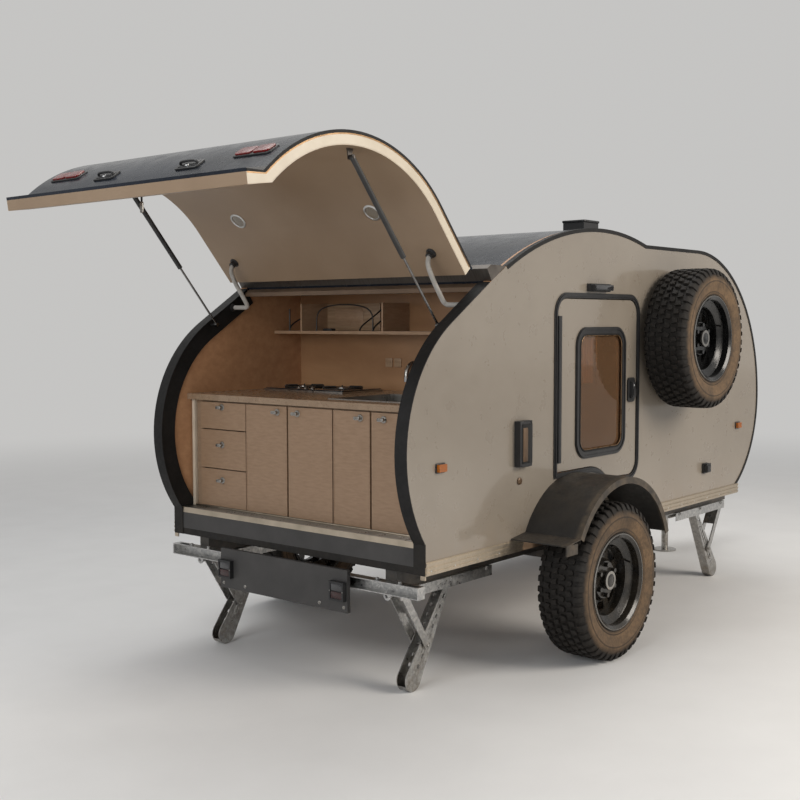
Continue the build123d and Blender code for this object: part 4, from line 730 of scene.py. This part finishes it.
# The lock, with a pull that hangs from it
kit = Kit()
at = on_arc(INNER, LATCH, 38)
kit.lathe(((0, 12), (15, 11), (20, 7), (21, 0), (0, 0)), "steel", at)
kit.plate("steel", -13, 13, -30, 30, 6, -1, 4, 1.2, at)
foot = WORLD.inverted() @ at.translation - Vector((0, 0, 6))
kit.tube([foot - Vector((0, 0, down)) for down in (0, 24, 42)], 4, "black", 10)
kit.plate("steel", -8, 8, -22, 22, 7, -3, 3, 1.4, rearward(*(foot - Vector((0, 0, 60)))))
kit.done("hatch_lock", "hatch")

# Wiring hoses that cross from the walls to the hatch

RIB, RIB_R = 5.0, (9.7, 10.9)       # length of one rib, and the radii of its valley and top
HOSE_Y = 600
GLAND = (-747.8, 1634.7)            # on the closed hatch's inner face
GLAND_OUT = (-725.2, 1599.3)        # where the hose has left the gland
GLAND_WAY = (0.5383, -0.8428)       # the inner face's normal
COLLAR = (-734.8, 715.5, 1605.1)    # on the wall's inner face


def smooth_line(points):
    """Points along a smooth curve through the route, half a rib apart."""
    data = bpy.data.curves.new("route", "CURVE")
    data.dimensions = "3D"
    data.resolution_u = 40
    line = data.splines.new("NURBS")
    line.points.add(len(points) - 1)
    for point, co in zip(line.points, points):
        point.co = (*co, 1)
    line.order_u = 3
    line.use_endpoint_u = True
    o = bpy.data.objects.new("route", data)
    mesh = bpy.data.meshes.new_from_object(o)
    found = [v.co.copy() for v in mesh.vertices]
    bpy.data.objects.remove(o)
    bpy.data.meshes.remove(mesh)
    bpy.data.curves.remove(data)
    even = [found[0]]
    for target in found[1:]:
        while (target - even[-1]).length > RIB / 2:
            even.append(even[-1] + (target - even[-1]).normalized() * RIB / 2)
    return even


for name, s in SIDES:
    ax, az = opened(*GLAND)
    bx, bz = opened(*GLAND_OUT)
    wx, wy, wz = COLLAR
    route = [(ax, s * HOSE_Y, az), (bx, s * HOSE_Y, bz), (bx + 26, s * HOSE_Y, bz - 60),
             (-760, s * HOSE_Y, 1640), (wx, s * 604, wz), (wx, s * 650, wz), (wx, s * wy, wz)]
    line = smooth_line(route)
    kit = Kit()
    kit.tube(line, [RIB_R[k % 2] for k in range(len(line))], "hose", 14)
    hose = kit.done(f"conduit_hose_{name}", None)
    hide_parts("conduits")
    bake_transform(hose)
    kit = Kit()
    nx, nz = turned(*GLAND_WAY)
    kit.lathe(((0, -1), (23, -1), (23, 3), (17, 5), (15, 9), (15, 24), (13.4, 26), (0, 26)), "black",
              placed((ax, s * HOSE_Y, az), (nx, 0, nz), (0, 1, 0)))
    kit.done(f"conduit_gland_{name}", "hatch")
    kit = Kit()
    kit.lathe(((0, -1), (19, -1), (19, 3), (15, 5), (14, 14), (12.6, 15), (0, 15)), "black",
              placed((wx, s * wy, wz), (0, -s, 0), (1, 0, 0)))
    kit.done(f"conduit_collar_{name}", "trailer")

# Galley

FRONTS = -1000              # outer face of the drawers and cabinet doors
BULKHEAD = -248
HOB_Z = 1210                # top of the hob's glass


def knob(name, y, z, body):
    at = rearward(FRONTS, y, z)
    kit = Kit()
    kit.lathe(((0, 0), (15, 0), (15.5, 1.5), (14, 3.2), (7.5, 4), (7, 17), (8, 19)), "steel", at)
    kit.slab(round_rect(-17, 17, -7.5, 7.5, 6, 4), 18, 27, "steel", 3, at, 3)
    kit.lathe(((0, 28.6), (4.5, 28.2), (5, 26)), "steel", at, 16)
    kit.done(name, body)


for n, z in (("top", 1138), ("middle", 962), ("bottom", 795)):
    knob(f"knob_drawer_{n}", 505, z, f"drawer_{n}_body")
for k, y in enumerate((136, 10, -360, -490), 1):
    knob(f"knob_cabinet_{k}", y, 1133, f"cabinet_door_{k}_body")

kit = Kit()
kit.plate("edging", -1020, -998, -726, 726, 9, 1169.5, 1196.5, 4, WORLD)
kit.done("worktop_edge", "trailer")

# Cream uprights beside the fronts, a strip under them and the steel plate on the sill
kit = Kit()
for s in (-1, 1):
    kit.box((-1003, s * 706 - 9, 661), (-983, s * 706 + 9, 1168), "cream", 2)
kit.box((-1001, -700, 661), (-988, 700, 668), "trims", 1.5)
kit.box((-1066, -716, 659.5), (-1001, 716, 661.5), "steel", 0.6)
for x in (-1058, -1040, -1022):
    kit.box((x, -712, 661), (x + 6, 712, 662.6), "steel", 0.7)
kit.done("carcass_edges", "trailer")

# The sink's drain with black dots painted as the shade in its holes, then the tap with its lever and the
# end of its spout
TAP_X, TAP_Y = -450, -265
kit = Kit()
at = upward(-695, -310, 1070)
kit.lathe(((0, 3.5), (9, 3.8), (11, 5.4), (30, 6.6), (38, 8.4), (40, 7.2), (40, 3)), "chrome", at, 36)
# black dots: painted shade in the drain's holes
kit.dots([polar(20, 45 * k) for k in range(8)], ((0, 6.4), (3.2, 6.2), (3.2, 5)), "seal", at)
at = placed((TAP_X, TAP_Y, 1240), (0, -1, 0), (-1, 0, 0))
kit.lathe(((0, 34), (9, 33), (11, 30), (11, 6)), "chrome", at, 24)
kit.tube([(0, 0, 24), (26, 16, 27), (58, 30, 30)], [6, 5.6, 5.2, 4.8, 4.6, 4.4], "chrome", 12, at, 2)
at = placed((TAP_X - 130, TAP_Y, 1270), (0, 0, -1), (1, 0, 0))
kit.lathe(((0, 6), (8, 6), (12.6, 5), (12.8, -16), (11.2, -16)), "chrome", at, 24)
kit.done("sink_fittings", "trailer")

# Glass top of the hob with a low wire stand round each burner, and its knobs
kit = Kit()
kit.plate("smoke", -598, -312, 112, 638, 12, HOB_Z - 2.6, HOB_Z + 0.4, 1, WORLD)
for x, y in ((-450, 245), (-450, 505)):
    kit.lathe(((49, 0), (50, 3), (54, 3.4), (57, 2.4), (58, 0)), "iron", upward(x, y, HOB_Z), 36)
    for k in range(4):
        kit.tube([(*polar(r, 45 + 90 * k, x, y), HOB_Z + h)
                  for r, h in ((96, 1), (96, 9), (80, 11), (34, 11))], 3, "iron", 8, soft=2)
    kit.tube([(*polar(96, 10 * k, x, y), HOB_Z + 3) for k in range(36)], 3, "iron", 8, loop=True)
for y in (330, 375, 420):
    kit.lathe(((0, 9), (9, 9), (11, 7.5), (13, 2), (15, 0)), "steel", upward(-572, y, HOB_Z), 24)
kit.done("hob_top", "trailer")

# Wire brackets and a rail on the shelf, in front of a pale back board
FRONT, BACK = -444, -252
kit = Kit()
kit.tube([(FRONT, 612, 1490), (FRONT, 612, 1600)], 4, "iron", 8)
for y, z in ((612, 1500), (139, 1492), (54, 1492)):
    kit.tube([(FRONT, y, z), (FRONT + 12, y, z + 22), (-330, y, 1566), (BACK, y, 1612)], 4, "iron", 8,
             soft=2)
kit.tube([(FRONT, 424, 1490), (FRONT, 424, 1618), (FRONT, 54, 1618), (FRONT, 54, 1490)], 3.6, "iron",
         soft=3)
kit.plate("panel_wood", 170, 570, 1492, 1626, 6, 0, 9, 1.5, placed((-258, 0, 0), (1, 0, 0), (0, 1, 0)))
kit.plate("shelf", 280, 470, 1512, 1600, 16, 0, 3, 1.2, placed((-261, 0, 0), (1, 0, 0), (0, 1, 0)))
kit.box((-430, 340, 1490), (-396, 398, 1502), "black", 3)
kit.done("shelf_racks", "trailer")

kit = Kit()
for y in (62, 118):
    at = rearward(BULKHEAD, y, 1334)
    kit.plate("panel_wood", -22, 22, -22, 22, 5, -1, 5, 2, at, 3)
    kit.lathe(((0, 4), (13, 4), (14, 5.5), (15.5, 5.8), (15.5, 4)), "panel_wood", at, 24)
    # black dots: painted shade in the sockets' holes
    kit.dots(((-6, 0), (6, 0)), ((0, 4.6), (2.2, 4.6)), "seal", at)
kit.done("galley_sockets", "trailer")

# Doors and windows

DOOR = (-142, 649, 744, 1667)       # x and z from and to
DOOR_R = 100
STEP, STEP_R = (160, 556.5), 262.5  # the lower rear corner is stepped over the wing, round this point
WINDOW = (42, 507, 889, 1508)       # x and z from and to


def door_path(inset):
    """The door's outline in x and z."""
    r = DOOR_R - inset
    x0, x1, z0, z1 = DOOR[0] + inset, DOOR[1] - inset, DOOR[2] + inset, DOOR[3] - inset
    path = [polar(r, a, x1 - r, z1 - r) for a in range(0, 91, 15)]
    path += [polar(r, a, x0 + r, z1 - r) for a in range(90, 181, 15)]
    path.append((x0, STEP[1] + STEP_R + inset))
    step = [polar(STEP_R + inset, a, *STEP) for a in range(90, 15, -10)]
    path += [(x, z) for x, z in step if z > z0]
    path += [polar(r, a, x1 - r, z0 + r) for a in range(270, 361, 15)]
    return path


def window_ring(s, inset, r):
    x0, x1, z0, z1 = WINDOW
    return in_xz(round_rect(x0 + inset, x1 - inset, z0 + inset, z1 - inset, r, 6), s * 772.5)


def curtain(name, s, body):
    """A short curtain hung in folds from the rail, inside the rear part of a window."""
    left, top, inside = 68, 1484, 742
    hung, drop = 172, 240
    folds, deep = 7, 5.5
    nx, nz = 120, 22
    bm = bmesh.new()
    grid = []
    for j in range(nz + 1):
        v = j / nz
        row = []
        for i in range(nx + 1):
            u = i / nx
            fold = deep * math.sin(2 * math.pi * folds * u + 0.5 * math.sin(3 * v))
            fold += 1.5 * math.sin(40 * u + 2 * v)
            row.append(bm.verts.new(P(left + hung * u, s * (inside + fold), top - drop * v)))
        grid.append(row)
    for a, b in zip(grid, grid[1:]):
        for i in range(nx):
            bm.faces.new((a[i], a[i + 1], b[i + 1], b[i]))
    o = cloth(name, bm, "curtain")
    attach(o, body)


for name, s in SIDES:
    kit = Kit()
    kit.tube(in_xz(door_path(26.5), s * 766.4), 2.2, "seal", 8, loop=True)
    kit.done(f"door_gasket_{name}", "trailer")

    # Window seal, handle with its lock, and the hinge's rivets
    kit = Kit()
    kit.tube(window_ring(s, 35, 55), 4.5, "seal", 8, loop=True)
    at = sideward(565, s, 785.5, 1195)
    kit.plate("black", -15, 15, -38, 38, 7, -1, 6, 2.5, at, 3)
    kit.plate("black", -11, 11, -30, 8, 5, 5, 11, 2.5, at, 3)
    kit.dots([(0, 24)], ((0, 8.4), (4, 8.2), (6.4, 7.4), (7, 5)), "chrome", at, 20)
    for k in range(9):
        kit.lathe(((0, 1.4), (2.2, 1.1), (3, 0)), "black", sideward(-102.5, s, 780.5, 930 + 74 * k), 10)
    kit.done(f"door_fittings_{name}", f"door_{name}_body")

    # Curtain rail, the curtain's end strip and a bronze line round the pane, which is a painted highlight
    # on the window's seal
    kit = Kit()
    kit.tube(in_xz(round_rect(60, 490, 1468, 1482, 6, 3), s * 747), 3, "steel", 8, loop=True)
    kit.box((246, min(s * 752, s * 757), 1232), (251, max(s * 752, s * 757), 1486), "bronze", 1)
    # bronze line round the pane: painted highlight
    kit.tube(window_ring(s, 41, 50), 1.8, "bronze", 8, loop=True)
    kit.done(f"door_rail_{name}", f"door_{name}_body")
    curtain(f"door_curtain_{name}", s, f"door_{name}_body")

# Right wall: the tall box's frame with painted shade inside it and its flap, the lamp's cover, a round
# plate and the front box's lid.
# Both walls: the markers' bases

kit = Kit()
at = sideward(-408.5, -1, WALL + 30, 1005)
kit.tube([(x, z, 0) for x, z in round_rect(-45, 45, -99, 99, 20, 6)], 2.4, "black", 8, at, loop=True)
# a near-black plate of painted shade inside the frame
kit.plate("painted_shade", -34, 34, -86, 86, 16, -1, 1.2, 0.4, at)
kit.plate("brown", -26, 10, -78, 70, 6, 0.5, 3.4, 1, at)
kit.plate("smoke", -80, 80, -11, 11, 5, -1, 4, 2, sideward(230, -1, WALL + 42, 1693.5), 3)
kit.lathe(((15, -5), (15.5, 0.5), (12, 2.6), (5, 3), (4.6, 1.5), (0, 1.5)), "brown",
          sideward(-419, -1, WALL + 6, 841))
at = sideward(1418, -1, WALL + 30, 717.5)
kit.tube([(-26, 24, -4), (26, 24, -4)], 4, "black", 10, at)
kit.plate("black", -19, 19, -18, 16, 6, -1, 3.5, 2, at, 3)
for x, z in ((-980, 953), (1849, 928)):
    for s in (-1, 1):
        kit.plate("black", -30, 30, -20, 20, 6, -1, 5, 1.8, sideward(x, s, WALL, z))
kit.done("wall_fittings", "trailer")

kit = Kit()
kit.plate("black", -78, 78, -68, 68, 16, -8, 3, 4, upward(490, -520, 2035), 3)
kit.done("roof_vent_lid", "trailer")

# Rivets along the lower strips, except behind the wheels, and the strips' rear ends
kit = Kit()
for s in (-1, 1):
    for x in range(-1040, 1769, 156):
        if not -430 < x < 470:
            kit.lathe(((0, 2.2), (3.4, 1.7), (4.6, 0)), "alu", sideward(x, s, 771.6, 545.5), 12)
    kit.plate("trims", -13, 13, -18, 36, 3, 0, 5, 1, rearward(-1069, s * 755, 548))
kit.done("trim_rivets", "trailer")

# Light board and rear bar

kit = Kit()
for s in (-1, 1):
    at = rearward(-1140, s * 345, 420)
    kit.plate("wine", -31, 31, 2, 31, 5, -6, -1.5, 1.5, at)
    kit.plate("smoke", -31, 31, -31, -2, 5, -6, -1.5, 1.5, at)
    kit.dots(((-36, 0), (36, 0)), ((0, 1.2), (2.2, 1), (2.8, 0)), "steel", at)
for y in (-370, -230, 230, 370):
    kit.bolt(4, shifted(rearward(-1118, 0, 420), y, 68), "steel")
kit.done("light_board_fittings", "trailer")

BAR_X, BAR_Z = -1078, 485
kit = Kit()
for s in (-1, 1):
    # near-black plates in the bar's slots: painted shade
    kit.plate("painted_shade", -38, 20, -9, 9, 8.9, -0.5, 0.6, 0.2,
              placed((BAR_X, s * 700, BAR_Z + 0.2), (0, 0, 1), (0, 1, 0)))
    for y in (640, 520):
        kit.bolt(7, placed((BAR_X, s * y, BAR_Z), (0, 0, 1), (0, 1, 0)))
kit.done("rear_bar_bolts", "trailer")

# Steadies: spindle and nuts on the chassis, ribs and bolts on the legs

LEG = math.radians(57.55)       # a leg's slope, and its brace's
BRACE = 580
STEADY_Y, STEADY_Z = 575, 425
THREAD, TURNS = 4, 161


def steady(name, brace_x, facing, s):
    y0 = s * STEADY_Y
    kit = Kit()
    thread = [(r, THREAD * k + h) for k in range(TURNS) for r, h in ((7.2, 0), (8.6, 2))]
    nut = (brace_x - facing * 40, y0, STEADY_Z)
    kit.lathe([(0, 0), *thread, (0, 643)], "steel", placed(nut, (facing, 0, 0), (0, 1, 0)), 10)
    at = placed(nut, (-facing, 0, 0), (0, 1, 0))
    kit.slab(hexagon(13.5), 0, 22, "zinc", 2, at)
    kit.lathe(((9, 22), (19, 22), (19, 25), (9, 25)), "zinc", at, 24)
    for along in (20, 300, 560):
        for out in (-1, 1):
            kit.bolt(5, placed((brace_x + facing * along, y0 + out * 47, STEADY_Z + 16), (0, out, 0),
                               (1, 0, 0)))
    kit.done(f"steady_spindle_{name}", "trailer")

    top = brace_x + facing * BRACE * math.cos(LEG)
    lx, lz = -facing * math.cos(LEG), -math.sin(LEG)

    def on_leg(along, out, side):
        """A placement on one side of the leg, local x down along it."""
        return placed((top + lx * along, y0 + side * out, STEADY_Z + lz * along), (0, side, 0),
                      (lx, 0, lz))

    kit = Kit()
    for side in (-1, 1):
        for off in (-9, 9):
            kit.slab(round_rect(0, 305, off - 2.6, off + 2.6, 2.5, 3), -0.5, 2.2, "zinc", 0.9,
                     on_leg(60, 25, side))
        for along, out in ((0, 27), (290, 36)):
            kit.bolt(6.5, on_leg(along, out, side), "steel")
    kit.done(f"steady_ribs_{name}", f"leg_{name}")


for end, brace_x, facing in (("rear", -1017, 1), ("front", 1990, -1)):
    for name, s in SIDES:
        steady(f"{end}_{name}", brace_x, facing, s)

# Wheels and tyres: height along the local z is outwards along the axle

CASING = ((206, 88), (206, 97), (219, 99), (230, 103.5), (236, 107), (241, 105.6), (255, 111.4),
          (285, 116.4), (291, 118.6), (297, 117.6), (310, 115.2), (326, 110.6), (338, 103.5), (346, 94))
ROUND = Matrix(((0, 0, 1, 0), (1, 0, 0, 0), (0, 1, 0, 0), (0, 0, 0, 1)))     # x round, y across, z out
ACROSS = Matrix(((0, 1, 0, 0), (0, 0, 1, 0), (1, 0, 0, 0), (0, 0, 0, 1)))    # x across, y out, z round
PITCHES = 48
PITCH_TURN = 2 * math.pi / PITCHES


def tyre(name, at, body, node, key):
    """A casing with rows of middle and shoulder blocks and side lugs."""
    kit = Kit()
    kit.lathe([*CASING, *((r, -h) for r, h in reversed(CASING)), CASING[0]], key, at, 108)
    for k in range(PITCHES):
        wide = 4 if k % 2 else 0
        deep = 316 if k % 2 else 328
        for side, half in ((-1, 0), (1, 0.5)):
            turn = at @ Matrix.Rotation((k + half) * PITCH_TURN, 4, "Z")
            middle = [(-14, 4), (0, 9), (11, 3), (15, 29), (2, 35), (-10, 29)]
            kit.slab([(x, side * y) for x, y in middle], 345, 359.4, key, 1.8, turn @ ROUND, 1)
            outer = [(-12, 41), (1, 46), (13, 40), (10, 66 + wide), (-1, 71), (-14, 65)]
            kit.slab([(x, side * y) for x, y in outer], 344, 359.0, key, 1.8,
                     turn @ Matrix.Rotation(PITCH_TURN / 2, 4, "Z") @ ROUND, 1)
            lug = [(78, 343), (78, 358.4), (94, 356.5), (105, 350), (113, 334), (116.5, deep),
                   (110, deep), (100, 336), (92, 343)]
            kit.slab([(side * x, y) for x, y in lug], -11 - wide, 11, key, 1.8, turn @ ACROSS, 1)
    o = kit.done(name, body)
    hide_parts(node)


def wheel_fittings(name, middle, s, body, node):
    """The hub's ring and cap, the valve, a steel ring on the rim's lip as a painted highlight, and the
    tyre.
    """
    at = placed(middle, (0, s, 0), (1, 0, 0))
    kit = Kit()
    kit.lathe(((30, 62.2), (42.5, 62.2), (43.6, 60), (43.6, 52), (42.2, 52)), "steel", at, 40)
    kit.lathe(((0, 65), (20, 64.5), (29, 62)), "rim", at, 32)
    kit.tube([(*polar(r, 22.5), h) for r, h in ((172, 48), (166, 70), (158, 82))], 4.5, "seal", 10, at, 1)
    # steel ring on the rim's lip: a painted highlight
    kit.lathe(((216, 106.4), (219, 106.2), (220.4, 103.5), (219.6, 98)), "steel", at, 72)
    kit.done(f"wheel_fittings_{name}", body)
    tyre(f"tyre_tread_{name}", at, body, node, "spare" if name == "spare" else "tyre")


for name, s in SIDES:
    x, y, z = WHEEL
    wheel_fittings(name, (x, s * y, z), s, f"wheel_{name}", f"tyre_{name}")
wheel_fittings("spare", SPARE, -1, "trailer", "spare_tyre")

# Mattress: two faces with a rounded edge, and dimples on the upper one. Its lengths are metres

TUFTS = (7, 5)
EDGE_R = 0.035
DIMPLE = PINCH = 0.012


def mattress():
    lo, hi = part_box("mattress")
    nx, ny = 74, 58
    bm = bmesh.new()
    grid = {}
    size = hi - lo
    for face in (0, 1):
        for i in range(nx + 1):
            for j in range(ny + 1):
                u, v = i / nx, j / ny
                edge = min(u * size.x, (1 - u) * size.x, v * size.y, (1 - v) * size.y)
                crown = 1 - math.exp(-edge / EDGE_R)
                if face:
                    waves = math.cos(u * math.pi * 2 * TUFTS[0]) * math.cos(v * math.pi * 2 * TUFTS[1])
                    z = lo.z + size.z * (0.55 + 0.43 * crown) - DIMPLE * waves ** 4 * crown
                    pinch = 0
                else:
                    z = lo.z + size.z * 0.5 * (1 - crown)
                    pinch = PINCH * (1 - crown)
                x = lo.x + u * size.x + pinch * (0.5 - u) * 2
                y = lo.y + v * size.y + pinch * (0.5 - v) * 2
                grid[face, i, j] = bm.verts.new((x, y, z))
    for i in range(nx):
        for j in range(ny):
            bm.faces.new((grid[1, i, j], grid[1, i + 1, j], grid[1, i + 1, j + 1], grid[1, i, j + 1]))
            bm.faces.new((grid[0, i, j], grid[0, i, j + 1], grid[0, i + 1, j + 1], grid[0, i + 1, j]))
    rim = ([(i, 0) for i in range(nx)] + [(nx, j) for j in range(ny)]
           + [(i, ny) for i in range(nx, 0, -1)] + [(0, j) for j in range(ny, 0, -1)])
    for a, b in zip(rim, rim[1:] + rim[:1]):
        bm.faces.new((grid[0, *a], grid[0, *b], grid[1, *b], grid[1, *a]))
    bmesh.ops.recalc_face_normals(bm, faces=bm.faces[:])
    o = cloth("mattress_cover", bm, "fabric")
    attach(o, "trailer")
    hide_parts("mattress")


mattress()

# Studio: a floor that fades into the backdrop between two distances

BACKDROP = rgba(0.56, 0.555, 0.545)
FADE = (3.5, 11.0)
floor_mesh = bpy.data.meshes.new("studio_floor")
floor_mesh.from_pydata([(-30, -30, -0.001), (30, -30, -0.001), (30, 30, -0.001), (-30, 30, -0.001)],
                       [], [(0, 1, 2, 3)])
studio_floor = add("studio_floor", floor_mesh)
m = Mat("studio_floor", Roughness=0.75)
m.to("Base Color", m.cloudy((0.75, 0.745, 0.735), (0.78, 0.775, 0.765), 3, 4))
far = m.vector("LENGTH", m.node("TexCoord").outputs["Object"], out="Value")
far = m.node("MapRange", {"interpolation_type": "SMOOTHSTEP"}, i0=far, i1=FADE[0], i2=FADE[1]).outputs[0]
seen = m.math("MULTIPLY", far, m.node("LightPath").outputs["Is Camera Ray"])
m.two_faced(m.math("SUBTRACT", 1.0, seen), m.node("Emission", Color=BACKDROP, Strength=1.0))
floor_mesh.materials.append(m.m)

# The world shows the backdrop to the camera and in reflections, and lights softly
world = bpy.data.worlds.new("studio")
bpy.context.scene.world = world
world.use_nodes = True
w = Nodes(world.node_tree)
rays = w.node("LightPath").outputs
shown = w.math("MAXIMUM", rays["Is Camera Ray"],
               w.math("MAXIMUM", rays["Is Glossy Ray"], rays["Is Transmission Ray"]))
back = world.node_tree.nodes["Background"]
back.inputs["Strength"].default_value = 1.0
w.link(w.mix(shown, rgba(0.29, 0.293, 0.30), BACKDROP), back, "Color")


def lamp(name, place, target, size, power, colour):
    data = bpy.data.lights.new(name, "AREA")
    data.shape = "RECTANGLE"
    data.size, data.size_y = size
    data.energy = power
    data.color = colour
    o = add(name, data)
    o.location = place
    o.rotation_mode = "QUATERNION"
    o.rotation_quaternion = (Vector(target) - Vector(place)).to_track_quat("-Z", "Y")


lamp("key", (1.5, -7.0, 4.2), (-0.6, 0, 0.9), (4.0, 3.0), 400, (1.0, 0.93, 0.84))
lamp("fill", (-7.5, -1.0, 3.0), (-1.5, 0, 1.0), (4.0, 3.0), 165, (0.96, 0.98, 1.0))
lamp("top", (0.0, 1.5, 7.0), (-0.5, 0, 1.0), (6.0, 4.0), 215, (1.0, 0.99, 0.97))
